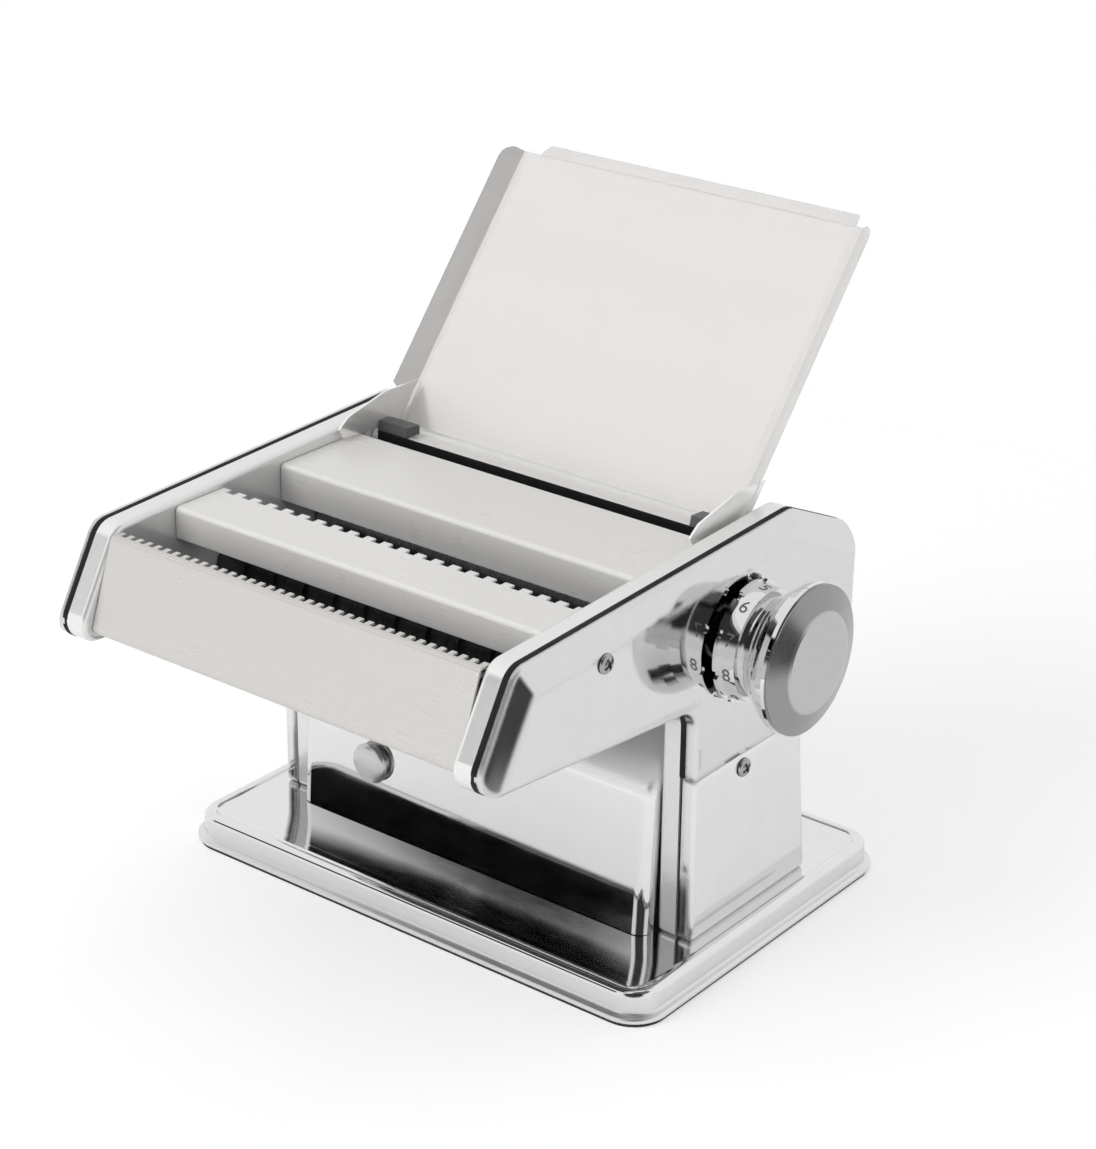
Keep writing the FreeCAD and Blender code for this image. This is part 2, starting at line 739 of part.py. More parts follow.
def make_panels():
    top = bent_sheet(new_body("top_panel"), [
        ("slot_y-slot_width/2", "panel_z-lip_depth"),
        ("slot_y-slot_width/2", "panel_z"),
        ("wall_one_y", "panel_z"),
        ("wall_one_y", "panel_z-wall_one_depth")], True, ["lip_round", "wall_round"])
    middle = bent_sheet(new_body("middle_panel"), [
        ("wide_comb_y+comb_depth", "panel_z"),
        ("wall_two_y", "panel_z"),
        ("wall_two_y", "panel_z-wall_two_depth")], True, ["wall_round"])
    comb(middle, "wide_comb_y", "wide_comb_y+comb_depth", "panel_z", "wide_pitch", "wide_pitch/2")
    front = bent_sheet(new_body("front_panel"), [
        ("fine_comb_y+comb_depth", "front_panel_z"),
        ("front_edge_y", "front_panel_z"),
        ("front_foot_y", "front_foot_z"),
        ("front_foot_y+front_return", "front_foot_z-front_return/3")], True, ["wall_round", "lip_round"])
    comb(front, "fine_comb_y", "fine_comb_y+comb_depth", "front_panel_z", "fine_pitch", "fine_pitch/2")
    rear = bent_sheet(new_body("rear_cover"), [
        ("slot_y+slot_width/2", "rear_lip_z-lip_depth"),
        ("slot_y+slot_width/2", "rear_lip_z"),
        ("crown_y", "crown_z"),
        ("shoulder_y", "shoulder_z"),
        ("rear_face_y", "rear_face_top_z"),
        ("rear_face_y", "rear_face_low_z"),
        ("back_panel_y+seat_gap", "back_panel_z+seat_gap")], False,
        ["lip_round", "crown_round", "crown_round", "crown_round", "lip_round"])
    chute = bent_sheet(new_body("chute_panel"), [
        ("chute_foot_y", "deck_height+seat_gap"),
        ("chute_foot_y+0.5", "chute_bend_z"),
        ("chute_top_y", "chute_top_z")], False, ["chute_round"])
    back = new_body("back_panel")
    sketch = new_sketch(back, "side")
    draw_box(sketch, "back_panel_y-panel_gauge", "deck_height+seat_gap", "back_panel_y", "back_panel_z")
    pad(back, sketch, PANEL_WIDTH, both=True)
    hole = new_sketch(back, "front", ("0", "0", "-back_panel_y"))
    draw_circle(hole, "0", "clamp_z", "clamp_bore+bush_wall+running_fit")
    pocket(back, hole, "4*panel_gauge", both=True)
    return [top, middle, front, rear, chute, back]


# Round pieces along X: each profile is a run of (x, radius) corners about the piece's own axis

def round_pad(body, y, z, radius, start, length, backwards=False):
    """A plain round bar along X from x = start."""
    sketch = draw_circle(new_sketch(body, "side", ("0", "0", start)), y, z, radius)
    return pad(body, sketch, length, backwards=backwards)


def round_hole(body, y, z, radius, start, length, backwards=False):
    """A round hole along X from x = start."""
    sketch = draw_circle(new_sketch(body, "side", ("0", "0", start)), y, z, radius)
    return pocket(body, sketch, length, backwards=backwards)


def rod(name, y, z, radius, half):
    body = new_body(name)
    turn(body, y, z, [("-(%s)" % half, "0"), (half, "0"), (half, radius), ("-(%s)" % half, radius)])
    return body


def socket(body, y, z):
    """The blind crank socket in the left end of a shaft, with its cross slot for the crank's pin."""
    end = "-shaft_end_x"
    round_hole(body, y, z, "socket_bore", end, "socket_depth", backwards=True)
    slot = new_sketch(body, "side", ("0", "0", end))
    draw_box(slot, "%s-socket_slot/2" % y, "%s-socket_rim" % z, "%s+socket_slot/2" % y, "%s+socket_rim" % z)
    pocket(body, slot, "socket_slot", backwards=True)


def make_roller(name, y, driven):
    """A smooth roller with its journals; the driven one carries the crank socket."""
    body = new_body(name)
    right = "wall_inside+bush_length" if driven else "block_inner_x+block_width"
    left = "-shaft_end_x" if driven else "-(gear_inner_x+gear_width)"
    half = "roller_length/2"
    turn(body, y, "roller_z", [
        (left, "0"), (right, "0"), (right, "journal_radius"), (half, "journal_radius"),
        (half, "roller_radius-roller_edge"), (half + "-roller_edge", "roller_radius"),
        ("-%s+roller_edge" % half, "roller_radius"), ("-" + half, "roller_radius-roller_edge"),
        ("-" + half, "journal_radius"), (left, "journal_radius")])
    if driven:
        socket(body, y, "roller_z")
    return body


def make_gear(name, y, z, bore, root, tip, count, root_width, tip_width, phase):
    """A toothed wheel with straight-sided teeth, on the left ends of the shafts."""
    body = new_body(name)
    lift = "-gear_inner_x"
    sketch = draw_circle(new_sketch(body, "side", (y, z, lift)), "0", "0", root)
    pad(body, sketch, "gear_width", backwards=True)
    tooth = new_sketch(body, "side", (y, z, lift))
    cosine, sine = math.cos(math.radians(phase)), math.sin(math.radians(phase))

    def corner(reach, half):
        return ("(%s)*%.8f-(%s)*%.8f" % (reach, cosine, half, sine), "(%s)*%.8f+(%s)*%.8f" % (reach, sine, half, cosine))

    draw_outline(tooth, [corner(root + "-1", "-%s/2" % root_width), corner(tip, "-%s/2" % tip_width),
                         corner(tip, tip_width + "/2"), corner(root + "-1", root_width + "/2")])
    one = pad(body, tooth, "gear_width", backwards=True)
    polar(body, one, tooth, count)
    hole = draw_circle(new_sketch(body, "side", (y, z, lift)), "0", "0", bore)
    pocket(body, hole, "gear_width", backwards=False)
    return body


def disc_places(width, driven):
    """How many discs a cutter carries and where its first one is centred; the two cutters of a
    pair interlock, so the driven one has one disc more."""
    strips = int(size("cutter_length/" + width))
    pairs = (strips - 1) // 2
    count = pairs + 1 if driven else pairs
    return count, "(-2*%s*%g)" % (width, (count - 1) / 2)


def cutter_core(radius):
    return "(%s-cut_overlap-blade_clear)" % radius


def make_cutter(name, y, z, radius, width, driven):
    """A cutting shaft: many-sided discs, one strip's width apart, on a slimmer core."""
    body = new_body(name)
    half = "cutter_length/2"
    right = "wall_inside+bush_length"
    left = "-shaft_end_x" if driven else "-(gear_inner_x+gear_width)"

    def ring(sketch, reach):
        corners = []
        for k in range(12):
            angle = math.radians(30 * k)
            corners.append(("%s+%s*%.6f" % (y, reach, math.cos(angle)), "%s+%s*%.6f" % (z, reach, math.sin(angle))))
        return draw_outline(sketch, corners)

    pad(body, ring(new_sketch(body, "side"), cutter_core(radius)), "cutter_length", both=True)
    count, start = disc_places(width, driven)
    disc = ring(new_sketch(body, "side", ("0", "0", start + "-(%s-blade_clear)/2" % width)), radius)
    one = pad(body, disc, width + "-blade_clear")
    linear(body, one, disc, "N_Axis", size("2*" + width) * (count - 1), count)
    round_pad(body, y, z, "cutter_journal", half, right + "-" + half)
    round_pad(body, y, z, "cutter_journal", "-" + half, "-(%s)-%s" % (left, half), backwards=True)
    if driven:
        socket(body, y, z)
    return body


def make_bushes(name, side):
    """The bearings pressed into one frame: the fixed roller's and the four cutters'."""
    body = new_body(name)
    start = "wall_inside" if side > 0 else "-wall_inside"
    for y, z, radius in BUSHED:
        sketch = new_sketch(body, "side", ("0", "0", start))
        draw_circle(sketch, y, z, radius + "+running_fit+bush_wall")
        draw_circle(sketch, y, z, radius + "+running_fit")
        pad(body, sketch, "bush_length", backwards=side < 0)
    return body


# The adjustable roller's carriage: bearing blocks that slide between rails, joined by a tie bar

def make_block(name, side):
    body = new_body(name)
    start = "block_inner_x" if side > 0 else "-block_inner_x"
    sketch = new_sketch(body, "side", ("0", "0", start))
    draw_box(sketch, "block_front_y", "roller_z-block_height/2", "block_rear_y", "roller_z+block_height/2")
    draw_circle(sketch, REST_ROLLER_Y, "roller_z", "journal_radius+running_fit")
    draw_circle(sketch, "tie_y", "tie_z", "tie_radius")
    pad(body, sketch, "block_width", backwards=side < 0)
    middle = side * size("block_inner_x+block_width/2")
    spots = [Vector(middle, size(y), size("roller_z") + up * size("block_height/2"))
             for y in ("block_front_y", "block_rear_y") for up in (-1, 1)]
    round_edges(body, straight_edges(body.Shape, Vector(1, 0, 0), spots), "edge_round")
    return body


def make_block_rails():
    body = new_body("block_rails")
    for side in (1, -1):
        sketch = new_sketch(body, "side", ("0", "0", WALL_OUTSIDE if side > 0 else "-" + WALL_OUTSIDE))
        for low, high in (("block_height/2+seat_gap", "block_height/2+seat_gap+rail_height"),
                          ("-block_height/2-seat_gap-rail_height", "-block_height/2-seat_gap")):
            draw_box(sketch, "block_front_y-roller_travel", "roller_z+(%s)" % low,
                     "block_rear_y", "roller_z+(%s)" % high)
        pad(body, sketch, "block_inner_x+block_width-" + WALL_OUTSIDE, backwards=side < 0)
    return body


# The regulator: a spiral cam that draws the carriage's pin, on a shaft that the knob turns

PIN_Y = "(knob_y+cam_rest_radius)"


def make_cam():
    body = new_body("cam_disc")
    sketch = new_sketch(body, "side", ("0", "0", "cam_inner_x"))
    draw_circle(sketch, "knob_y", "knob_z", "cam_radius")
    draw_circle(sketch, "knob_y", "knob_z", "knob_shaft")
    pad(body, sketch, "cam_width")
    steps = 20
    outer, inner = [], []
    for k in range(steps + 1):
        angle = -math.radians(size("cam_turn")) * k / steps
        pull = "cam_rest_radius-roller_travel*%g" % (k / steps)
        for side, reach in ((outer, pull + "+follower_radius+groove_clear"), (inner, pull + "-follower_radius-groove_clear")):
            side.append(("knob_y+(%s)*%.8f" % (reach, math.cos(angle)), "knob_z+(%s)*%.8f" % (reach, math.sin(angle))))
    groove = draw_outline(new_sketch(body, "side", ("0", "0", "cam_inner_x")), outer + inner[::-1])
    pocket(body, groove, "2*cam_width", both=True)
    for turn_back, reach in ((0, "cam_rest_radius"), (size("cam_turn"), "cam_rest_radius-roller_travel")):
        angle = -math.radians(turn_back)
        y = "knob_y+(%s)*%.8f" % (reach, math.cos(angle))
        z = "knob_z+(%s)*%.8f" % (reach, math.sin(angle))
        end = draw_circle(new_sketch(body, "side", ("0", "0", "cam_inner_x")), y, z, "follower_radius+groove_clear")
        pocket(body, end, "2*cam_width", both=True)
    return body


def make_knob():
    """The knob's black collar: a notched ring at the back, a neck, and a flare out to the rim."""
    body = new_body("knob")
    turn(body, "knob_y", "knob_z", [
        ("knob_back_x", "knob_shaft+running_fit"), ("knob_back_x", "knob_ring"),
        ("knob_back_x+knob_ring_width", "knob_ring"), ("knob_back_x+knob_ring_width", "knob_collar+0.5"),
        ("knob_back_x+7", "knob_collar"), ("knob_back_x+7.3", "knob_neck"), ("knob_back_x+9.5", "knob_neck"),
        ("knob_back_x+9.9", "knob_neck+1.5"), ("knob_back_x+12.9", "knob_neck+3.5"),
        ("knob_back_x+15.9", "knob_neck+6"), ("knob_back_x+18.9", "knob_neck+8.1"),
        ("knob_back_x+21.4", "knob_rim"), ("knob_rim_x", "knob_rim"), ("knob_rim_x", "knob_shaft+3"),
        ("shaft_tip_x+seat_gap", "knob_shaft+3"), ("shaft_tip_x+seat_gap", "knob_shaft+running_fit")])
    notch = new_sketch(body, "side", ("knob_y", "knob_z", "knob_back_x"))
    angle = math.radians(size("index_angle"))
    draw_circle(notch, "knob_ring*%.8f" % math.cos(angle), "knob_ring*%.8f" % math.sin(angle), "notch_radius")
    one = pocket(body, notch, "knob_ring_width", backwards=True)
    polar(body, one, notch, 7, "cam_turn")
    return body


def make_knob_parts():
    shaft = new_body("knob_shaft")
    turn(shaft, "knob_y", "knob_z", [("cam_inner_x", "0"), ("shaft_tip_x", "0"), ("shaft_tip_x", "knob_shaft"),
                                     ("cam_inner_x", "knob_shaft")])
    cap = new_body("knob_cap")
    turn(cap, "knob_y", "knob_z", [
        ("knob_rim_x", "0"), ("knob_rim_x", "knob_rim-0.6"), ("knob_rim_x+0.7", "knob_rim-0.6"),
        ("knob_face_x", "knob_disc"), ("knob_face_x", "0")])
    bush = new_body("knob_bush")
    turn(bush, "knob_y", "knob_z", [
        ("cam_inner_x+cam_width+seat_gap", "knob_shaft+running_fit"),
        ("cover_face", "knob_shaft+running_fit"), ("cover_face", "knob_shaft+knob_bush_wall"),
        ("cover_face-plate-seat_gap", "knob_shaft+knob_bush_wall"),
        ("cover_face-plate-seat_gap", "knob_shaft+2*knob_bush_wall"),
        ("cam_inner_x+cam_width+seat_gap", "knob_shaft+2*knob_bush_wall")])
    pin = new_body("index_pin")
    angle = math.radians(size("index_angle"))
    turn(pin, "knob_y+knob_ring*%.8f" % math.cos(angle), "knob_z+knob_ring*%.8f" % math.sin(angle), [
        ("cover_face", "0"), ("cover_face+index_height", "0"), ("cover_face+index_height", "index_radius-0.3"),
        ("cover_face+index_height-0.3", "index_radius"), ("cover_face", "index_radius")])
    follower = new_body("follower_pin")
    turn(follower, PIN_Y, "roller_z", [
        ("block_inner_x+block_width", "0"), ("cam_inner_x+cam_width", "0"),
        ("cam_inner_x+cam_width", "follower_radius"), ("block_inner_x+block_width", "follower_radius")])
    return [shaft, cap, bush, pin, follower]


# Rods between the sides, and the screws on the covers

def make_rods():
    reach = "cover_face-plate"
    step = "(wall_inside+plate+rivet_head)"
    pieces = []
    for name, y, z in (("upper_tie_rod", "upper_screw_y", "upper_screw_z"),
                       ("lower_tie_rod", "lower_screw_y", "lower_screw_z")):
        piece = new_body(name)
        turn(piece, y, z, [
            ("-(%s)" % reach, "screw_shank"), ("-(%s)+screw_length" % reach, "screw_shank"),
            ("-(%s)+screw_length" % reach, "0"), (reach + "-screw_length", "0"),
            (reach + "-screw_length", "screw_shank"), (reach, "screw_shank"), (reach, "rod_end_radius"),
            (step, "rod_end_radius"), (step, "rod_radius"), ("-" + step, "rod_radius"),
            ("-" + step, "rod_end_radius"), ("-(%s)" % reach, "rod_end_radius")])
        pieces.append(piece)
    pieces.append(rod("rear_tie_rod", "rear_rod_y", "rear_rod_z", "rod_radius", "wall_inside+plate+rivet_head"))
    pieces.append(rod("carriage_tie", "tie_y", "tie_z", "tie_radius", "block_inner_x+block_width"))
    screws = new_body("cover_screws")
    for y, z in (("upper_screw_y", "upper_screw_z"), ("lower_screw_y", "lower_screw_z")):
        for side in ("", "-"):
            turn(screws, y, z, [(side + "(%s)" % x, radius) for x, radius in (
                ("cover_face-plate-screw_length", "0"), ("cover_face-plate-screw_length", "screw_shank"),
                ("cover_face", "screw_shank"), ("cover_face", "screw_head"),
                ("cover_face+0.3*screw_rise", "screw_head*0.92"), ("cover_face+0.75*screw_rise", "screw_head*0.62"),
                ("cover_face+screw_rise", "screw_head*0.3"), ("cover_face+screw_rise", "0"))])
    return pieces + [screws]


# The stand's front button and the clamp's hole at the back

def make_stand_fittings():
    button = new_body("front_button")
    sketch = draw_outline(new_sketch(button, "side", ("0", "button_z", "button_x")), [
        ("chute_foot_y", "0"), ("chute_foot_y", "button_radius"), ("chute_foot_y-0.8", "button_radius"),
        ("chute_foot_y-2", "button_radius*0.85"), ("chute_foot_y-3", "button_radius*0.5"), ("chute_foot_y-3.3", "0")])
    feature = button.newObject("PartDesign::Revolution", "front_button_turned")
    feature.Profile = sketch
    feature.ReferenceAxis = (sketch, ["H_Axis"])
    feature.Angle = 360
    doc.recompute()
    bush = new_body("clamp_bush")
    ring = new_sketch(bush, "front", ("0", "0", "-back_panel_y-0.4"))
    draw_circle(ring, "0", "clamp_z", "clamp_bore")
    draw_circle(ring, "0", "clamp_z", "clamp_bore+bush_wall")
    pad(bush, ring, "3*panel_gauge")
    return [button, bush]


# The dough tray: a flared sheet on two side brackets that rest between the frames

def tray_point(y, z):
    """A point seen along X, in the tray's own tilted frame."""
    return ("((%s)-tray_y)*cos(tray_tilt)+((%s)-tray_z)*sin(tray_tilt)" % (y, z),
            "((%s)-tray_z)*cos(tray_tilt)-((%s)-tray_y)*sin(tray_tilt)" % (z, y))


def make_tray():
    body = new_body("dough_tray")
    section = new_sketch(body, "front")
    bends = draw_strip(section, [
        ("-(tray_half+rim_reach)", "rim_rise"), ("-tray_half", "0"), ("tray_half", "0"),
        ("tray_half+rim_reach", "rim_rise")], "panel_gauge", False)
    pad(body, section, "tray_length", backwards=True)
    for convex, inside in bends:
        for corner, own in ((convex, "rim_bend"), (inside, "rim_bend-panel_gauge")):
            spot = Vector(corner.x, size("tray_length/2"), corner.y)
            round_edges(body, straight_edges(body.Shape, Vector(0, 1, 0), [spot]), own)
    lip = new_sketch(body, "side")
    draw_strip(lip, [("tray_length-1", "0"), ("tray_length", "0"),
                     ("tray_length+lip_length*cos(lip_bend)", "-lip_length*sin(lip_bend)")], "panel_gauge", False)
    pad(body, lip, "2*(tray_half-1)", both=True)
    for side in (1, -1):
        edge = "tray_half+rim_reach"
        ear = new_sketch(body, "side", ("0", "0", edge if side > 0 else "-(%s)" % edge))
        draw_outline(ear, [tray_point(y, z) for y, z in EAR])
        pad(body, ear, "panel_gauge", backwards=side > 0)
    body.setExpression("Placement.Base.y", "sizes.tray_y")
    body.setExpression("Placement.Base.z", "sizes.tray_z")
    body.Placement = Placement(Vector(0, size("tray_y"), size("tray_z")), Rotation(Vector(1, 0, 0), size("tray_tilt")))
    return body


EAR = [("24", "panel_z+11.8"), ("6.4", "panel_z+12.3"), ("-13", "panel_z+8.3"), ("-18", "panel_z+4.8"),
       ("-16", "panel_z+1.3"), ("-8", "panel_z+0.6"), ("13", "panel_z-0.7")]


def make_feed_guides():
    body = new_body("feed_guides")
    for side in (1, -1):
        sketch = new_sketch(body, "side", ("0", "0", "guide_inner_x" if side > 0 else "-guide_inner_x"))
        draw_outline(sketch, [
            ("slot_y+slot_width/2+seat_gap", "rear_lip_z+seat_gap"), ("guide_rear_y", "rear_lip_z-0.4"),
            ("guide_rear_y", "rear_lip_z+guide_rise-0.6"), ("slot_y+slot_width/2+1.2", "rear_lip_z+guide_rise")])
        pad(body, sketch, "guide_length", backwards=side < 0)
    return body


def blade(name, y, z, angle, near, far):
    """A thin blade across the machine, pointing at a shaft's axis; angle is from straight back."""
    body = new_body(name)
    cosine, sine = math.cos(math.radians(angle)), math.sin(math.radians(angle))

    def corner(reach, half):
        return ("%s+(%s)*%.8f-(%s)*%.8f" % (y, reach, cosine, half, sine),
                "%s+(%s)*%.8f+(%s)*%.8f" % (z, reach, sine, half, cosine))

    sketch = new_sketch(body, "side")
    draw_outline(sketch, [corner(near, "-blade_tip/2"), corner(near, "blade_tip/2"),
                          corner(far, "panel_gauge"), corner(far, "-panel_gauge")])
    pad(body, sketch, PANEL_WIDTH, both=True)
    return body


def make_scrapers():
    """Blades that keep the dough off the smooth rollers."""
    near = "roller_radius+seat_gap"
    far = near + "+scraper_reach"
    return [blade("drive_scraper", FIXED_ROLLER_Y, "roller_z", -115, near, far),
            blade("rear_scraper", REST_ROLLER_Y, "roller_z", -65, near, far)]


def make_stripper(name, y, z, radius, width, driven):
    """A comb under one cutter whose teeth lift the strips out from between the discs."""
    body = blade(name, y, z, -30 if driven else -150, cutter_core(radius) + "+seat_gap",
                 radius + "+stripper_reach")
    count, start = disc_places(width, driven)
    side = "((%s-blade_clear)/2+seat_gap)" % width
    notch = new_sketch(body, "side", ("0", "0", "%s-%s" % (start, side)))
    draw_circle(notch, y, z, radius + "+seat_gap")
    cut = pocket(body, notch, "2*" + side, backwards=True)
    linear(body, cut, notch, "N_Axis", size("2*" + width) * (count - 1), count)
    return body


frame_holes = [(y, z, radius + "+2*running_fit+bush_wall") for y, z, radius in BUSHED]
frame_holes += [("upper_screw_y", "upper_screw_z", "rod_radius+seat_gap/3"),
                ("lower_screw_y", "lower_screw_z", "rod_radius+seat_gap/3"),
                ("rear_rod_y", "rear_rod_z", "rod_radius+seat_gap/3")]
screw_holes = [("upper_screw_y", "upper_screw_z", "screw_shank+0.2")]
crank_holes = [(FIXED_ROLLER_Y, "roller_z", "crank_hole"), (WIDE_REAR_Y, "wide_z", "crank_hole"),
               (FINE_REAR_Y, "fine_z", "crank_hole")]

pieces = [make_base(), make_base_pad()]
pieces += [make_frame("right_frame", 1, frame_holes), make_frame("left_frame", -1, frame_holes)]
pieces += [
    make_cover("right_cover", 1, screw_holes + [("knob_y", "knob_z", "knob_shaft+knob_bush_wall+running_fit")], True),
    make_cover("left_cover", -1, screw_holes + crank_holes, True)]
lower_holes = [("lower_screw_y", "lower_screw_z", "screw_shank+0.2")]
pieces += [make_cover("right_leg_cover", 1, lower_holes, False), make_cover("left_leg_cover", -1, lower_holes, False)]
pieces += make_panels()
pieces += [make_bushes("right_bushes", 1), make_bushes("left_bushes", -1)]
pieces += [make_roller("drive_roller", FIXED_ROLLER_Y, True), make_roller("adjustable_roller", REST_ROLLER_Y, False)]
roller_teeth = ("journal_radius", "roller_tooth_root", "roller_tooth_tip", 15, "roller_teeth_root_width",
                "roller_teeth_tip_width")
pieces += [make_gear("drive_gear", FIXED_ROLLER_Y, "roller_z", *roller_teeth, 0),
           make_gear("adjustable_gear", REST_ROLLER_Y, "roller_z", *roller_teeth, 0)]
CUTTERS = (
    ("wide_cutter_a", WIDE_REAR_Y, "wide_z", "wide_radius", "wide_cut", True, "wide_tooth", 0),
    ("wide_cutter_b", WIDE_FRONT_Y, "wide_z", "wide_radius", "wide_cut", False, "wide_tooth", 15),
    ("narrow_cutter_a", FINE_REAR_Y, "fine_z", "fine_radius", "fine_cut", True, "fine_tooth", 0),
    ("narrow_cutter_b", FINE_FRONT_Y, "fine_z", "fine_radius", "fine_cut", False, "fine_tooth", 15))
for name, y, z, radius, width, driven, teeth, phase in CUTTERS:
    pieces.append(make_cutter(name, y, z, radius, width, driven))
    pieces.append(make_stripper(name.replace("cutter", "stripper"), y, z, radius, width, driven))
    pieces.append(make_gear(name.replace("cutter", "gear"), y, z, "cutter_journal", teeth + "_root", teeth + "_tip",
                            12, "cutter_tooth_root_width", "cutter_tooth_tip_width", phase))
pieces += [make_block("right_block", 1), make_block("left_block", -1), make_block_rails()]
pieces += [make_cam(), make_knob()] + make_knob_parts() + make_rods() + make_stand_fittings()
pieces += [make_tray(), make_feed_guides()] + make_scrapers()

doc.recompute()
for item in doc.Objects:
    if "Invalid" in item.State or "Error" in item.State:
        raise RuntimeError("%s did not build" % item.Name)
for piece in pieces:
    if piece.Shape.isNull() or not piece.Shape.isValid():
        raise RuntimeError("%s is not a valid solid" % piece.Label)
os.makedirs("parts", exist_ok=True)
for piece in pieces:
    piece.Shape.exportStep("parts/%s.step" % piece.Label)
print("%d pieces" % len(pieces))
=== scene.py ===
import bpy
import bmesh
import json
import math
from mathutils import Matrix, Vector


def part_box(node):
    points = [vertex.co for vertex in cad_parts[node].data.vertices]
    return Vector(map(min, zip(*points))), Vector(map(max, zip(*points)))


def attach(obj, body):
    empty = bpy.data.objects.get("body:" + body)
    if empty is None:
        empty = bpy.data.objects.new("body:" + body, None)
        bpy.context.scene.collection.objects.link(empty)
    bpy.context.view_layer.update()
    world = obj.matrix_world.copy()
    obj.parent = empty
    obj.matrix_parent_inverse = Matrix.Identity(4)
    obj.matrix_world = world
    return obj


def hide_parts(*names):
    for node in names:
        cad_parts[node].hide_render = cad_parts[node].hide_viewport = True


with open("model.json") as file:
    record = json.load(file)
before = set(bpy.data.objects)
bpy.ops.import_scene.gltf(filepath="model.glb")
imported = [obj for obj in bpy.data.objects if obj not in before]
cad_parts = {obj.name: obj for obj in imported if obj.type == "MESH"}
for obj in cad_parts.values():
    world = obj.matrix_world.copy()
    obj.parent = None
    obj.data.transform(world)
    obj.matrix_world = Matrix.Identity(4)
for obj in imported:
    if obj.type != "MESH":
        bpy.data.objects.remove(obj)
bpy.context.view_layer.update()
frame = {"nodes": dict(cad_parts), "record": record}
nodes = frame["nodes"]
scene = bpy.context.scene

# Shader nodes. Object coordinates are metres in the machine's own frame: X across, Y back, Z up.

# The sockets of a Mix node that mixes colours
MIX_SHARE, MIX_ONE, MIX_TWO = 0, 6, 7
MIX_RESULT = 2


def add_node(tree, kind, **settings):
    """A shader node; each setting is one of its properties or, failing that, one of its inputs."""
    made = tree.nodes.new("ShaderNode" + kind)
    for key, value in settings.items():
        if hasattr(made, key):
            setattr(made, key, value)
        else:
            made.inputs[key.replace("_", " ")].default_value = value
    return made


def map_range(tree, source, low, high, from_low, from_high, interpolation="LINEAR"):
    """Takes from_low to low and from_high to high."""
    made = add_node(tree, "MapRange", interpolation_type=interpolation, From_Min=from_low,
                    From_Max=from_high, To_Min=low, To_Max=high)
    tree.links.new(source, made.inputs["Value"])
    return made.outputs["Result"]


class Shader:
    """A node material with one Principled shader and short names for what feeds it."""

    def __init__(self, name, **constants):
        self.name = name
        self.material = bpy.data.materials.new(name)
        self.material.use_nodes = True
        self.tree = self.material.node_tree
        self.bsdf = self.tree.nodes["Principled BSDF"]
        for socket, value in constants.items():
            self.bsdf.inputs[socket.replace("_", " ")].default_value = value

    def node(self, kind, **settings):
        return add_node(self.tree, kind, **settings)

    def link(self, source, target):
        self.tree.links.new(source, target)

    def feed(self, source, socket):
        self.link(source, self.bsdf.inputs[socket])

    def noise(self, scale, detail=3.0, roughness=0.55):
        """Noise of about one feature a unit, stretched by scale along X, Y and Z."""
        mapping = self.node("Mapping", Scale=scale)
        self.link(self.node("TexCoord").outputs["Object"], mapping.inputs["Vector"])
        made = self.node("TexNoise", Scale=1.0, Detail=detail, Roughness=roughness)
        self.link(mapping.outputs["Vector"], made.inputs["Vector"])
        return made.outputs["Fac"]

    def axis(self, name):
        place = self.node("SeparateXYZ")
        self.link(self.node("TexCoord").outputs["Object"], place.inputs[0])
        return place.outputs[name]

    def ramp(self, source, low, high, from_low=0.3, from_high=0.7):
        return map_range(self.tree, source, low, high, from_low, from_high)

    def math(self, operation, one, two):
        made = self.node("Math", operation=operation)
        for socket, value in zip(made.inputs, (one, two)):
            if hasattr(value, "links"):
                self.link(value, socket)
            else:
                socket.default_value = value
        return made.outputs[0]

    def blend(self, source, one, two):
        made = self.node("Mix", data_type="RGBA")
        made.inputs[MIX_ONE].default_value = (*one, 1)
        made.inputs[MIX_TWO].default_value = (*two, 1)
        self.link(source, made.inputs[MIX_SHARE])
        return made.outputs[MIX_RESULT]

    def roughen(self, source, most):
        """Adds roughness where the source is 1."""
        old = self.bsdf.inputs["Roughness"].links[0].from_socket
        self.feed(self.math("ADD", old, self.math("MULTIPLY", source, most)), "Roughness")

    def worn_edges(self, radius):
        """1 along sharp edges, where handling has rubbed them bright, and 0 on flat ground."""
        ground = self.node("NewGeometry")
        rounded = self.node("Bevel", Radius=radius)
        rounded.samples = 4
        both = self.node("VectorMath", operation="DOT_PRODUCT")
        self.link(ground.outputs["Normal"], both.inputs[0])
        self.link(rounded.outputs["Normal"], both.inputs[1])
        return self.ramp(both.outputs["Value"], 1.0, 0.0, 0.86, 0.995)

    def bump(self, height, strength, distance, edge=0.0):
        """Relief on the surface, whose edges are also shaded as rounded to the radius given."""
        made = self.node("Bump", Strength=strength, Distance=distance)
        self.link(height, made.inputs["Height"])
        if edge:
            rounded = self.node("Bevel", Radius=edge)
            rounded.samples = 6
            self.link(rounded.outputs["Normal"], made.inputs["Normal"])
        self.link(made.outputs["Normal"], self.bsdf.inputs["Normal"])


# Materials. A wave is the scale of a relief along X, Y and Z, its strength and its height.

SHEET_WAVE = ((26, 26, 26), 0.05, 0.0006)
KNOB_WAVE = ((26, 26, 26), 0.03, 0.0006)
DECK_WAVE = ((14, 30, 30), 1.0, 0.00006)
ACROSS = (90, 2500, 2500)
ALONG_TRAY = (2500, 90, 90)
PRESSED_EDGE = 0.0028
PANEL_EDGE = 0.0005
TURNED_EDGE = 0.0003

# Where one finish passes into another, in Z, and for the cap in X
SKIRT_TO_DECK = (0.0095, 0.0105)
CHUTE_TO_SLOPE = (0.061, 0.067)
CAP_BEVEL_TO_FACE = (0.1170, 0.1173)


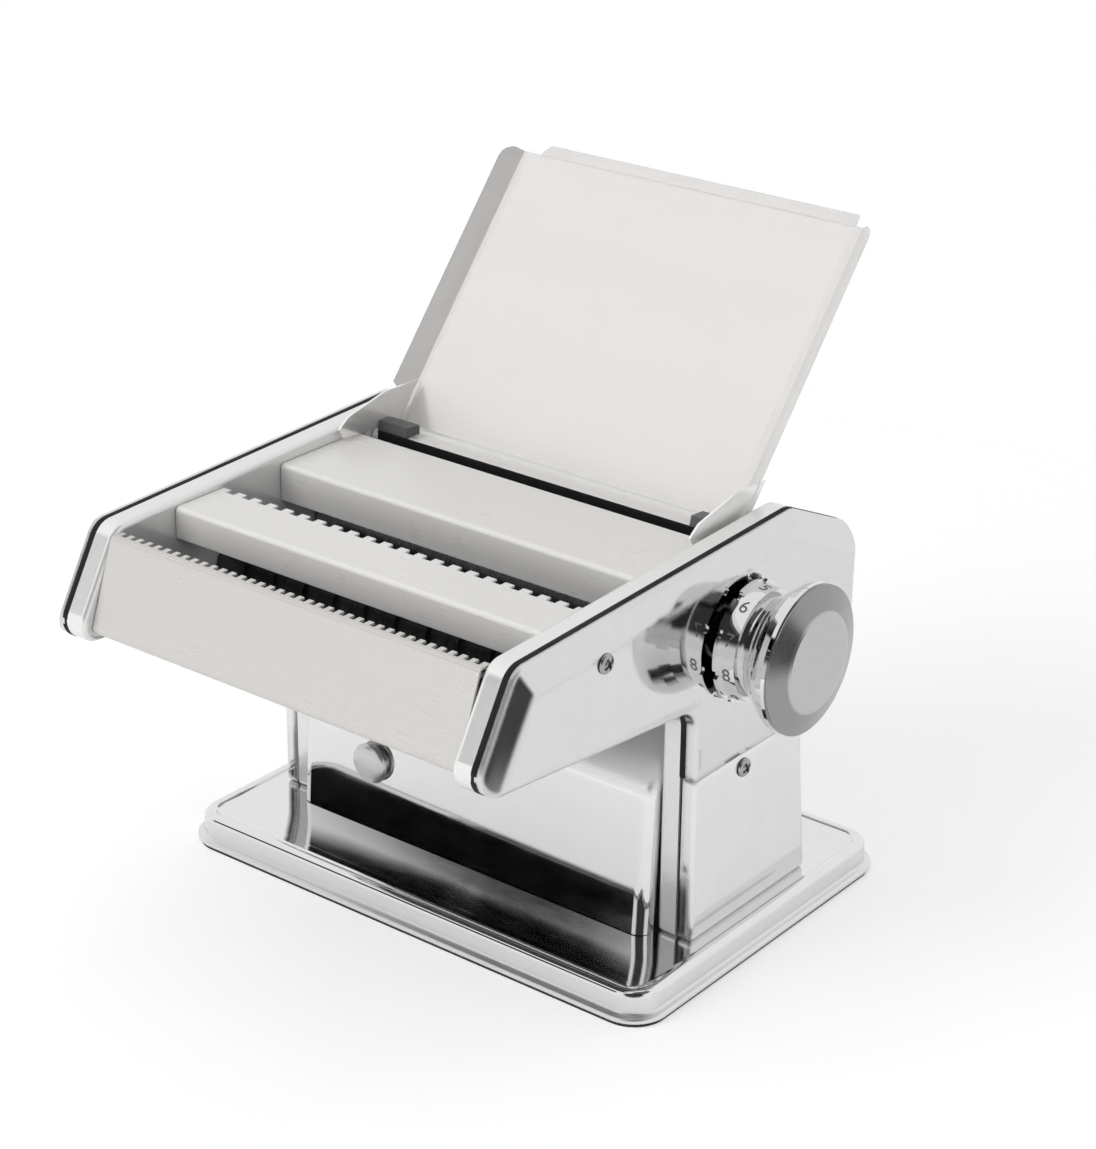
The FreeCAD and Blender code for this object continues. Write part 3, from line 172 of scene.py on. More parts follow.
def tint(tone, share):
    return tuple(share * c for c in tone)


def polished(name, tone, rough=(0.04, 0.09), wave=SHEET_WAVE, edge=0.0):
    """Mirror-polished sheet: faint waves from the pressing, wiping marks and a few hair scratches."""
    shader = Shader(name, Metallic=1.0)
    wipe = shader.noise((60, 160, 90), 4.0)
    hair = shader.ramp(shader.noise((30, 2600, 2600), 2.0), 0.0, 0.03, 0.62, 0.72)
    shader.feed(shader.math("ADD", shader.ramp(wipe, *rough), hair), "Roughness")
    shader.feed(shader.blend(shader.ramp(wipe, 0, 1), tint(tone, 0.97), tone), "Base Color")
    scale, strength, height = wave
    shader.bump(shader.noise(scale, 1.0), strength, height, edge)
    return shader


def deck(name, tone):
    """The polished base, whose skirt is left satin."""
    shader = polished(name, tone, (0.05, 0.10), DECK_WAVE)
    shader.roughen(shader.ramp(shader.axis("Z"), 1.0, 0.0, *SKIRT_TO_DECK), 0.3)
    return shader


def chute(name, tone):
    """The polished chute, whose slope under the rollers is left satin."""
    shader = polished(name, tone, (0.05, 0.09))
    slope = shader.ramp(shader.axis("Z"), 0.0, 1.0, *CHUTE_TO_SLOPE)
    shader.roughen(slope, 0.35)
    shader.feed(shader.ramp(slope, 1.0, 0.1, 0.0, 1.0), "Metallic")
    return shader


def satin(name, tone, streak, rough, metal, edge=0.0):
    """Satin sheet that scatters part of the light, with a fine grain along one direction."""
    shader = Shader(name, Metallic=metal)
    grain = shader.noise(streak, 5.0, 0.7)
    cloud = shader.noise((40, 40, 40), 2.0)
    fine = shader.ramp(grain, *rough)
    shader.feed(shader.math("ADD", fine, shader.ramp(cloud, -0.02, 0.02)), "Roughness")
    shader.feed(shader.blend(shader.ramp(grain, 0, 1), tint(tone, 0.993), tone), "Base Color")
    shader.bump(grain, 0.006, 0.00003, edge)
    return shader


def cap(name, tone, bevel_tone):
    """The knob's cap: a brushed face inside a darker turned bevel."""
    shader = satin(name, tone, (900, 900, 900), (0.16, 0.24), 0.85)
    face = shader.ramp(shader.axis("X"), 0.0, 1.0, *CAP_BEVEL_TO_FACE)
    shader.feed(shader.blend(face, bevel_tone, tone), "Base Color")
    return shader


def turned(name, tone, rough=(0.22, 0.34)):
    """Metal turned on a lathe: rings across X, brighter along its worn edges."""
    shader = Shader(name, Metallic=1.0)
    rings = shader.noise((2600, 60, 60), 3.0)
    shader.feed(shader.ramp(rings, *rough), "Roughness")
    worn = shader.node("Mix", data_type="RGBA")
    worn.inputs[MIX_TWO].default_value = (*(min(0.9, 1.3 * c) for c in tone), 1)
    shader.link(shader.worn_edges(TURNED_EDGE), worn.inputs[MIX_SHARE])
    shader.link(shader.blend(shader.ramp(rings, 0, 1), tint(tone, 0.88), tone), worn.inputs[MIX_ONE])
    shader.feed(worn.outputs[MIX_RESULT], "Base Color")
    shader.bump(rings, 0.08, 0.0001)
    return shader


def plastic(name, tone, rough, grain=2200.0, strength=0.12):
    """Moulded plastic with a fine spark-eroded texture."""
    shader = Shader(name, Metallic=0.0, IOR=1.48)
    pattern = shader.noise((grain, grain, grain), 2.0)
    cloud = shader.noise((90, 90, 90), 3.0)
    shader.feed(shader.ramp(cloud, *rough), "Roughness")
    shader.feed(shader.blend(shader.ramp(pattern, 0, 1), tint(tone, 0.85), tone), "Base Color")
    shader.bump(pattern, strength, 0.0001)
    return shader


LOOKS = {shader.name: shader.material for shader in (
    polished("polished_steel", (0.78, 0.78, 0.78), edge=PRESSED_EDGE),
    polished("cover_steel", (0.68, 0.68, 0.675), edge=PRESSED_EDGE),
    satin("satin_steel", (0.79, 0.78, 0.765), ACROSS, (0.275, 0.29), 0.12, PANEL_EDGE),
    satin("front_steel", (0.60, 0.585, 0.565), ACROSS, (0.28, 0.295), 0.3),
    # The rollers' tone is partly their own and partly painted shade, darkened for the shade inside the feed
    # slot.
    turned("roller_alloy", (0.42, 0.42, 0.425)),
    # The cutters' near-black tone is painted shade, for the deep shade they lie in below the combs.
    turned("cutter_steel_painted_shade", (0.12, 0.12, 0.125), (0.25, 0.4)),
    turned("gear_steel", (0.42, 0.42, 0.43), (0.3, 0.45)),
    turned("screw_steel", (0.40, 0.40, 0.40), (0.2, 0.3)),
    plastic("dark_plastic", (0.08, 0.08, 0.08), (0.3, 0.4)),
    plastic("bearing_plastic", (0.55, 0.55, 0.53), (0.4, 0.5)),
    plastic("black_rubber", (0.006, 0.006, 0.006), (0.7, 0.9), 900.0, 0.2),
    plastic("foot_rubber", (0.02, 0.02, 0.02), (0.6, 0.8), 900.0, 0.3),
    satin("frame_steel", (0.80, 0.80, 0.795), (600, 600, 600), (0.16, 0.24), 0.45),
    satin("tray_steel", (0.93, 0.92, 0.91), ALONG_TRAY, (0.19, 0.22), 0.62),
    satin("button_steel", (0.58, 0.58, 0.58), (5000, 5000, 5000), (0.22, 0.3), 0.8),
    deck("deck_steel", (0.76, 0.76, 0.765)),
    chute("chute_steel", (0.76, 0.76, 0.76)),
    polished("knob_chrome", (0.72, 0.72, 0.725), (0.03, 0.06), KNOB_WAVE),
    cap("cap_alloy", (0.50, 0.50, 0.51), (0.30, 0.30, 0.30)),
    plastic("figure_paint", (0.16, 0.16, 0.165), (0.4, 0.5)),
)}

# The nodes that look unlike their record's material
OWN_LOOK = {
    "right_frame": "frame_steel",
    "left_frame": "frame_steel",
    "right_cover": "cover_steel",
    "left_cover": "cover_steel",
    "front_panel": "front_steel",
    "feed_guides": "dark_plastic",
    "knob": "knob_chrome",
    "knob_cap": "cap_alloy",
    "wide_cutter_a": "cutter_steel_painted_shade",
    "wide_cutter_b": "cutter_steel_painted_shade",
    "narrow_cutter_a": "cutter_steel_painted_shade",
    "narrow_cutter_b": "cutter_steel_painted_shade",
}

for part in frame["record"]["subparts"]:
    mesh = nodes[part["node"]].data
    mesh.materials.clear()
    mesh.materials.append(LOOKS[OWN_LOOK.get(part["node"], part["material_slot"])])

# Helpers for the scene's own pieces

SIDES = ((1, "right"), (-1, "left"))
SHEET = 0.0008
SAME_PLACE = 1e-6


def new_piece(name, mesh, body, look):
    """A scene piece on a body of the machine, with its finish and its material."""
    piece = bpy.data.objects.new(name, mesh)
    scene.collection.objects.link(piece)
    mesh.materials.append(LOOKS[look])
    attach(piece, body)
    return piece


def bridge(work, rows, closed=True):
    """Joins each row of vertices to the next with faces; closed rows are rings."""
    for low, high in zip(rows, rows[1:]):
        for index in range(len(low) if closed else len(low) - 1):
            after = (index + 1) % len(low)
            work.faces.new((low[index], low[after], high[after], high[index]))


def closed_tube(work, rings):
    """Joins the rings and closes both ends."""
    bridge(work, rings)
    work.faces.new(rings[0])
    work.faces.new(rings[-1])


def drawn_out(work, outline, ends):
    """A closed solid: an outline seen along X, drawn out from one X to another."""
    closed_tube(work, [[work.verts.new((x, y, z)) for y, z in outline] for x in ends])


def lathe(work, profile, place, segments):
    """A closed turned solid: the profile is a run of corners, each a place along its axis and a radius."""
    turns = [2 * math.pi * step / segments for step in range(segments)]
    closed_tube(work, [[work.verts.new(place(along, radius * math.cos(turn), radius * math.sin(turn)))
                        for turn in turns] for along, radius in profile])


def plain_mesh(work, name):
    bmesh.ops.recalc_face_normals(work, faces=work.faces)
    mesh = bpy.data.meshes.new(name)
    work.to_mesh(mesh)
    work.free()
    return mesh


def smooth_mesh(work, name, sharp_degrees):
    """A mesh shaded smooth, apart from edges that turn by more than that."""
    mesh = plain_mesh(work, name)
    mesh.shade_smooth()
    mesh.set_sharp_from_angle(angle=math.radians(sharp_degrees))
    return mesh


def rounded_path(start, corner, end, radius, steps=16):
    """Points of two straight runs joined by an arc, in a plane."""
    start, corner, end = Vector(start), Vector(corner), Vector(end)
    into, out = (corner - start).normalized(), (end - corner).normalized()
    half = into.angle(out) / 2
    reach = radius * math.tan(half)
    centre = corner - into * reach + (out - into * into.dot(out)).normalized() * radius
    first = corner - into * reach - centre
    turn = math.copysign(2 * half, into.x * out.y - into.y * out.x)
    arc = [centre + Matrix.Rotation(turn * step / steps, 2) @ first for step in range(steps + 1)]
    return [start] + arc + [end]


def heading(path, index):
    """The direction of an open path at one of its points."""
    return (path[min(index + 1, len(path) - 1)] - path[max(index - 1, 0)]).normalized()


# The knob's dial figures, filled grey, wrapped round the tapered ring behind its neck

KNOB_Y = -0.0078
KNOB_Z = sum(corner[2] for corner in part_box("knob")) / 2
RING_X = (0.0923, 0.0981)
RING_RADIUS = (0.0193, 0.0188)
FIGURES = "0123456789"
FIGURE_HEIGHT = 0.0046
FIGURE_SHARE_OF_FONT = 0.72
FIGURE_PROUD = 0.00008
FIGURE_TURN = math.radians(36)
SHOWN_FIGURE = 6
SHOWN_TURN = math.radians(32)


def ring_place(along, around, proud):
    """The point at X along, turned from the top towards the front, that far off the ring."""
    share = (along - RING_X[0]) / (RING_X[1] - RING_X[0])
    radius = RING_RADIUS[0] + share * (RING_RADIUS[1] - RING_RADIUS[0]) + proud
    return Vector((along, KNOB_Y - radius * math.sin(around), KNOB_Z + radius * math.cos(around)))


def dial_figure(figure, turn):
    text = bpy.data.curves.new("figure", "FONT")
    text.body = figure
    text.align_x = "CENTER"
    text.align_y = "CENTER"
    text.size = FIGURE_HEIGHT / FIGURE_SHARE_OF_FONT
    text.extrude = FIGURE_PROUD
    text.resolution_u = 4
    flat = bpy.data.objects.new("figure", text)
    mesh = bpy.data.meshes.new_from_object(flat)
    bpy.data.objects.remove(flat)
    for vertex in mesh.vertices:
        across, up, proud = vertex.co
        vertex.co = ring_place(sum(RING_X) / 2 + across, turn - up / RING_RADIUS[1], proud)
    return mesh


for index, figure in enumerate(FIGURES):
    mesh = dial_figure(figure, SHOWN_TURN + (index - SHOWN_FIGURE) * FIGURE_TURN)
    new_piece("dial_figure_" + figure, mesh, "regulator_knob", "figure_paint")

# The chute: one bent sheet with its ends folded back beside the legs

CHUTE_FOOT = (-0.038, 0.0109)
CHUTE_BEND = (-0.0351, 0.068)
CHUTE_TOP = (0.006, 0.0896)
CHUTE_BEND_RADIUS = 0.016
FOLD_RADIUS = 0.0045
FOLD_REACH = 0.0062


def chute_mesh():
    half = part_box("chute_panel")[1][0]
    fold = rounded_path((half, FOLD_REACH), (half, 0.0), (0.0, 0.0), FOLD_RADIUS, 8)[:-1]
    across = [(-x, inset) for x, inset in fold] + [(x, inset) for x, inset in reversed(fold)]
    path = rounded_path(CHUTE_FOOT, CHUTE_BEND, CHUTE_TOP, CHUTE_BEND_RADIUS)
    work = bmesh.new()
    rows = []
    for index, point in enumerate(path):
        along = heading(path, index)
        inward = Vector((along.y, -along.x))
        rows.append([work.verts.new((x, *(point + inward * inset))) for x, inset in across])
    bridge(work, rows, closed=False)
    bmesh.ops.recalc_face_normals(work, faces=work.faces)
    bmesh.ops.solidify(work, geom=work.faces[:], thickness=SHEET)
    return smooth_mesh(work, "chute_sheet", 40)


chute_sheet = new_piece("chute_sheet", chute_mesh(), "stand", "chute_steel")
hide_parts("chute_panel")

# The cover screws: domed heads with a cross recess

COVER_FACE = 0.089
SCREW_PLACES = ((-0.082, 0.1308), (-0.004, 0.065))
HEAD_RADIUS = 0.0033
HEAD_RISE = 0.0018
HEAD_FOOT = 0.8
HEAD_BAND = 0.0003
HEAD_ROWS = 28
SHANK_RADIUS = 0.0015
SHANK_END = -0.007
RECESS_WIDTH = 0.0010
RECESS_SPAN = 0.0042
RECESS_DEPTH = 0.0012
RECESS_DRAFT = 0.0002
RECESS_TURN = math.radians(28)


def recess_share(across, up):
    """1 inside the cross recess and 0 outside it."""
    one = abs(across * math.cos(RECESS_TURN) + up * math.sin(RECESS_TURN))
    two = abs(up * math.cos(RECESS_TURN) - across * math.sin(RECESS_TURN))
    arms = [max(wide - RECESS_SPAN / 2, tall - RECESS_WIDTH / 2) for wide, tall in ((one, two), (two, one))]
    return min(max(0.5 - min(arms) / RECESS_DRAFT, 0.0), 1.0)


def screw_mesh(side, y, z):
    def place(along, across, up):
        if along > HEAD_BAND:
            along -= RECESS_DEPTH * recess_share(across, up)
        return Vector((side * (COVER_FACE + along), y + across, z + up))

    profile = [(SHANK_END, SHANK_RADIUS), (0.0, SHANK_RADIUS), (0.0, HEAD_FOOT * HEAD_RADIUS),
               (HEAD_BAND, HEAD_RADIUS)]
    for step in range(1, HEAD_ROWS):
        share = 1 - step / HEAD_ROWS
        rise = (HEAD_RISE - HEAD_BAND) * math.sqrt(1 - share * share)
        profile.append((HEAD_BAND + rise, HEAD_RADIUS * share))
    work = bmesh.new()
    lathe(work, profile, place, segments=96)
    return smooth_mesh(work, "screw_head", 35)


for side, side_name in SIDES:
    for (y, z), height in zip(SCREW_PLACES, ("upper", "lower")):
        name = "_".join((side_name, height, "screw"))
        screw = new_piece(name, screw_mesh(side, y, z), "stand", "screw_steel")
        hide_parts("cover_screws")

# The front button: a low dome on the chute

BUTTON_PLACE = Vector((-0.042, -0.038, 0.0363))
BUTTON_RADIUS = 0.0074
BUTTON_NECK = 0.8
BUTTON_FOOT = -0.0022
BUTTON_BAND = 0.0006
BUTTON_RISE = 0.0032
BUTTON_SHOULDER = 0.97
BUTTON_ROWS = 17
BUTTON_ROW_DEGREES = 5


def button_mesh():
    def place(along, across, up):
        return BUTTON_PLACE + Vector((across, -along, up))

    neck = BUTTON_NECK * BUTTON_RADIUS
    profile = [(BUTTON_FOOT, neck), (0.0, neck), (BUTTON_BAND / 2, BUTTON_SHOULDER * BUTTON_RADIUS)]
    for step in range(BUTTON_ROWS):
        angle = math.radians(BUTTON_ROW_DEGREES * step)
        rise = (BUTTON_RISE - BUTTON_BAND) * math.sin(angle)
        profile.append((BUTTON_BAND + rise, BUTTON_RADIUS * math.cos(angle)))
    work = bmesh.new()
    lathe(work, profile, place, segments=64)
    return smooth_mesh(work, "button_dome", 50)


button_dome = new_piece("button_dome", button_mesh(), "stand", "button_steel")
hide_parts("front_button")

# The pressed base: a flange, a rolled rim and the deck inside it, as insets from its edge and heights

BASE_HALF = (0.1005, 0.0725)
BASE_CORNER = 0.013
BASE_CORNER_STEPS = 14
BASE_SKIRT = [(0.0007, 0.0012), (0.0001, 0.0016), (0.0, 0.0023), (0.0001, 0.0030), (0.0006, 0.0034),
              (0.0016, 0.0034), (0.0021, 0.0036), (0.0024, 0.0040), (0.0025, 0.0046), (0.0025, 0.0070)]
BEAD_CENTRE = (0.0050, 0.0092)
BEAD_RADIUS = 0.0025
BEAD_SWEEP = math.radians(142)
BEAD_STEPS = 14
DECK_INSETS = (0.0074, 0.0080, 0.0110)
DECK_HEIGHT = 0.0106
DECK_CURL = (0.048, 0.066)
DECK_SLOPE = 0.079
DECK_CURL_ROWS = 16


def rounded_ring(inset, height):
    """The base's outline drawn in by that much: a rectangle with round corners."""
    half_x, half_y = (half - inset for half in BASE_HALF)
    radius = BASE_CORNER - inset
    ring = []
    for quarter in range(4):
        side_x = 1 if quarter in (0, 3) else -1
        side_y = 1 if quarter < 2 else -1
        for step in range(BASE_CORNER_STEPS + 1):
            angle = math.radians(90 * (quarter + step / BASE_CORNER_STEPS))
            ring.append(Vector((side_x * (half_x - radius) + radius * math.cos(angle),
                                side_y * (half_y - radius) + radius * math.sin(angle), height)))
    return ring


def deck_rise(y):
    """How far the deck has curved up at that Y, towards its front and rear edges."""
    start, end = DECK_CURL
    outside = min(max(abs(y) - start, 0.0), end - start)
    return 0.5 * DECK_SLOPE * outside * outside / (end - start)


def base_mesh():
    inset, level = BEAD_CENTRE
    bead = []
    for step in range(BEAD_STEPS + 1):
        angle = BEAD_SWEEP * step / BEAD_STEPS
        bead.append((inset - BEAD_RADIUS * math.cos(angle), level + BEAD_RADIUS * math.sin(angle)))
    deck_rows = [(inset, DECK_HEIGHT) for inset in DECK_INSETS]
    work = bmesh.new()
    closed_tube(work, [[work.verts.new(spot) for spot in rounded_ring(*row)]
                       for row in BASE_SKIRT + bead + deck_rows])
    for row in range(DECK_CURL_ROWS):
        for side in (-1, 1):
            y = side * (DECK_CURL[0] + (DECK_CURL[1] - DECK_CURL[0]) * row / DECK_CURL_ROWS)
            whole = work.verts[:] + work.edges[:] + work.faces[:]
            bmesh.ops.bisect_plane(work, geom=whole, plane_co=(0, y, 0), plane_no=(0, 1, 0))
    for vertex in work.verts:
        if abs(vertex.co.z - DECK_HEIGHT) < SAME_PLACE:
            vertex.co.z += deck_rise(vertex.co.y)
    return smooth_mesh(work, "base_pressing", 60)


base_pressing = new_piece("base_pressing", base_mesh(), "stand", "deck_steel")
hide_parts("base_plate")

# The dough tray: a flared sheet with creased rims, a rolled lip and an ear at each side

TRAY_FOOT = Vector((0, 0.015, 0.1396))
TRAY_TILT = math.radians(50.3)
TRAY_ALONG = Vector((0, math.cos(TRAY_TILT), math.sin(TRAY_TILT)))
TRAY_PROUD = Vector((0, -math.sin(TRAY_TILT), math.cos(TRAY_TILT)))
TRAY_EDGES = (-0.0742, 0.0674)
TRAY_LENGTH = 0.1083
TRAY_ROWS = [0, 0.003, 0.006, 0.0085, 0.0095, 0.0105, 0.012, 0.02, 0.04, 0.06, 0.08, 0.1, 0.103, 0.105,
             0.1065, 0.1075, TRAY_LENGTH]
RIM_PROFILE = [(-0.0030, 0.0), (-0.0024, 0.0), (-0.0018, 0.0003), (-0.0011, 0.0003), (-0.0004, 0.0),
               (0.0, 0.0), (0.0003, 0.0001), (0.0008, 0.0005), (0.0034, 0.0025), (0.0058, 0.0044),
               (0.0064, 0.0048), (0.0067, 0.0044)]
FRAME_CLEAR = (0.0085, 0.012)
LOW_RIM = 0.12
TRAY_CORNER = 0.103
CORNER_CUT = 0.75
LIP_SPAN = (-0.067, 0.065)
LIP_START = -0.0004
LIP_CORNER = 0.0006
LIP_DROP = -0.0001
LIP_LENGTH = 0.0048
LIP_BEND = math.radians(24.6)
LIP_RADIUS = 0.0035
LIP_PULL = 0.0012
EAR_OUTLINE = [(0.024, 0.153), (0.0064, 0.1535), (-0.013, 0.1495), (-0.018, 0.146), (-0.016, 0.1425),
               (-0.008, 0.1418), (0.013, 0.1405)]
EAR_PLACES = ((-0.0738, -0.0730), (0.0730, 0.0738))


def tray_spot(across, along, proud):
    return TRAY_FOOT + Vector((across, 0, 0)) + along * TRAY_ALONG + proud * TRAY_PROUD


def rim_share(side, along):
    """How much of the rim is there: it clears the left frame's top and its upper corner is round."""
    share = 1.0
    if side < 0:
        rise = min(max((along - FRAME_CLEAR[0]) / (FRAME_CLEAR[1] - FRAME_CLEAR[0]), 0), 1)
        share = LOW_RIM + (1 - LOW_RIM) * rise * rise * (3 - 2 * rise)
    corner = max(along - TRAY_CORNER, 0) / (TRAY_LENGTH - TRAY_CORNER)
    return share * math.sqrt(1 - CORNER_CUT * corner * corner)


def tray_row(work, along):
    """One row across the tray, from its left rim to its right rim."""
    row = []
    for side, edge, profile in ((-1, TRAY_EDGES[0], RIM_PROFILE[::-1]), (1, TRAY_EDGES[1], RIM_PROFILE)):
        share = rim_share(side, along)
        for out, proud in profile:
            kept = share if out > 0 else 1.0
            row.append(work.verts.new(tray_spot(edge + side * out * kept, along, proud * kept)))
    return row


def lip_rows(work):
    start = Vector((TRAY_LENGTH + LIP_START, LIP_DROP))
    corner = Vector((TRAY_LENGTH + LIP_CORNER, LIP_DROP))
    end = corner + LIP_LENGTH * Vector((math.cos(LIP_BEND), -math.sin(LIP_BEND)))
    left, right = LIP_SPAN
    rows = []
    for along, proud in rounded_path(start, corner, end, LIP_RADIUS, 5):
        pulled = LIP_PULL * max(0.0, (along - TRAY_LENGTH) / LIP_LENGTH) ** 3
        places = (left + pulled, left / 2, 0, right / 2, right - pulled)
        rows.append([work.verts.new(tray_spot(x, along, proud)) for x in places])
    return rows


def tray_mesh():
    work = bmesh.new()
    bridge(work, [tray_row(work, along) for along in TRAY_ROWS], closed=False)
    bridge(work, lip_rows(work), closed=False)
    bmesh.ops.solidify(work, geom=work.faces[:], thickness=SHEET)
    for ends in EAR_PLACES:
        drawn_out(work, EAR_OUTLINE, ends)
    return smooth_mesh(work, "tray_sheet", 40)


tray_sheet = new_piece("tray_sheet", tray_mesh(), "tray", "tray_steel")
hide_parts("dough_tray")

# A black strip behind the feed slot: painted shade, a dark sheet where the slot is only in shade

SLOT_SHADE_ENDS = (-0.0722, 0.0722)
SLOT_SHADE_OUTLINE = [(0.00095, 0.1345), (0.00095, 0.1404), (0.00105, 0.1408), (0.0012, 0.1408), (0.0013, 0.1404),
            (0.0013, 0.1345)]


def slot_shade_mesh():
    work = bmesh.new()
    drawn_out(work, SLOT_SHADE_OUTLINE, SLOT_SHADE_ENDS)
    return plain_mesh(work, "painted_slot_shade")


new_piece("painted_slot_shade", slot_shade_mesh(), "stand", "black_rubber")

# A black bead in the seam between each frame and its cover, which follows the cover's outer edge: painted
# shade, a dark piece where the gap is only in shade

SEAM_SECTION_X = 0.0858
SEAM_FRONT = -0.13745
SEAM_ENDS = ((-0.0316, 0.0705), (0.0347, 0.0705))
SEAM_PROFILE = [(0.0828, -0.0004), (0.0828, 0.0), (0.0831, 0.00015), (0.0847, 0.00015), (0.0850, 0.0),
                (0.0850, -0.0004)]


def section_loop(mesh, x):
    """The outline of a mesh's section at that X that spans the most of Y, as (y, z) points in order."""
    work = bmesh.new()
    work.from_mesh(mesh)
    bmesh.ops.remove_doubles(work, verts=work.verts, dist=SAME_PLACE)
    whole = work.verts[:] + work.edges[:] + work.faces[:]
    cut = bmesh.ops.bisect_plane(work, geom=whole, plane_co=(x, 0, 0), plane_no=(1, 0, 0))["geom_cut"]
    left = [edge for edge in cut if isinstance(edge, bmesh.types.BMEdge)]
    loops = []
    while left:
        edge = left.pop()
        first, tip = edge.verts
        loop = [first]
        while tip is not first:
            loop.append(tip)
            following = [edge for edge in tip.link_edges if edge in left]
            if not following:
                break
            left.remove(following[0])
            tip = following[0].other_vert(tip)
        loops.append([Vector((vertex.co.y, vertex.co.z)) for vertex in loop])
    work.free()
    return max(loops, key=lambda loop: max(point.x for point in loop) - min(point.x for point in loop))


def outer_run(loop):
    """The cover's outer edge, from one of its lower ends to the other, without its inner edge."""
    first, last = sorted(min(range(len(loop)), key=lambda index: (loop[index] - Vector(end)).length)
                         for end in SEAM_ENDS)
    return max(loop[first:last + 1], loop[last:] + loop[:first + 1], key=len)


def seam_shade_mesh(side, run):
    turning = sum(one.x * two.y - two.x * one.y for one, two in zip(run, run[1:] + run[:1]))
    work = bmesh.new()
    rings = []
    for index, point in enumerate(run):
        along = heading(run, index)
        out = Vector((along.y, -along.x)) * math.copysign(1.0, turning)
        ring = []
        for x, proud in SEAM_PROFILE:
            place = point + out * proud
            ring.append(work.verts.new((side * x, max(place.x, SEAM_FRONT), place.y)))
        rings.append(ring)
    closed_tube(work, rings)
    return smooth_mesh(work, "painted_seam_shade", 60)


# Each bead is painted shade in the gap of its seam.
for side, side_name in SIDES:
    run = outer_run(section_loop(nodes[side_name + "_cover"].data, side * SEAM_SECTION_X))
    new_piece(side_name + "_painted_seam_shade", seam_shade_mesh(side, run), "stand", "black_rubber")

# The studio's white surround, with dark cards that the metal mirrors

WHITE = (1, 1, 1, 1)
AMBIENT = 0.5

# Each card: its direction, the angle of its half width, the softness of its edge, and how dark it is
CARDS = (
    ((-0.618, -0.663, 0.423), 6, 4.5, 1.0),
    ((-0.521, -0.718, 0.462), 7, 4, 1.0),
    ((0.92, 0.36, -0.19), 10, 5, 0.93),
    ((0.51, -0.65, 0.56), 24, 12, 0.95),
    ((0.45, -0.05, 0.88), 18, 7, 0.85),
)


def highest(tree, sources):
    """The largest of several values."""
    result = sources[0]
    for source in sources[1:]:
        made = add_node(tree, "Math", operation="MAXIMUM")
        tree.links.new(result, made.inputs[0])
        tree.links.new(source, made.inputs[1])
        result = made.outputs[0]
    return result


def backdrop_rays(tree):
    """1 for rays that show the background: seen by the camera, by metal or through glass."""
    path = add_node(tree, "LightPath")
    kinds = ("Is Camera Ray", "Is Glossy Ray", "Is Transmission Ray")
    return highest(tree, [path.outputs[kind] for kind in kinds])


def mix_shaders(tree, share, one, two):
    made = add_node(tree, "MixShader")
    for source, socket in zip((share, one, two), made.inputs):
        tree.links.new(source, socket)
    return made.outputs[0]


def card_light(tree, direction, card):
    """How much light is left in that direction: 1, and less towards the card."""
    centre, half, soft, depth = card
    facing = add_node(tree, "VectorMath", operation="DOT_PRODUCT")
    tree.links.new(direction, facing.inputs[0])
    facing.inputs[1].default_value = Vector(centre).normalized()
    inner, outer = (math.cos(math.radians(angle)) for angle in (half, half + soft))
    return map_range(tree, facing.outputs["Value"], 1.0, 1.0 - depth, outer, inner, "SMOOTHSTEP")


def studio_world():
    world = bpy.data.worlds.new("studio")
    world.use_nodes = True
    sky = world.node_tree
    ambient = sky.nodes["Background"]
    ambient.inputs["Color"].default_value = WHITE
    ambient.inputs["Strength"].default_value = AMBIENT
    backdrop = add_node(sky, "Background", Color=WHITE)
    direction = add_node(sky, "TexCoord").outputs["Generated"]
    light = card_light(sky, direction, CARDS[0])
    for card in CARDS[1:]:
        both = add_node(sky, "Math", operation="MULTIPLY")
        sky.links.new(light, both.inputs[0])
        sky.links.new(card_light(sky, direction, card), both.inputs[1])
        light = both.outputs[0]
    seen = add_node(sky, "LightPath").outputs["Is Camera Ray"]
    sky.links.new(highest(sky, [light, seen]), backdrop.inputs["Strength"])
    shown = mix_shaders(sky, backdrop_rays(sky), ambient.outputs[0], backdrop.outputs[0])
    sky.links.new(shown, sky.nodes["World Output"].inputs["Surface"])
    return world


scene.world = studio_world()

# The pale floor, which fades out into the background

FLOOR_REACH = 0.8
FLOOR_FADE = (0.30, 0.55)
FLOOR_TONE = (0.86, 0.86, 0.86, 1)
FLOOR_GLOW = 0.33


def floor_mesh():
    mesh = bpy.data.meshes.new("floor")
    disc = bmesh.new()
    bmesh.ops.create_circle(disc, cap_ends=True, segments=64, radius=FLOOR_REACH)
    disc.to_mesh(mesh)
    disc.free()
    return mesh


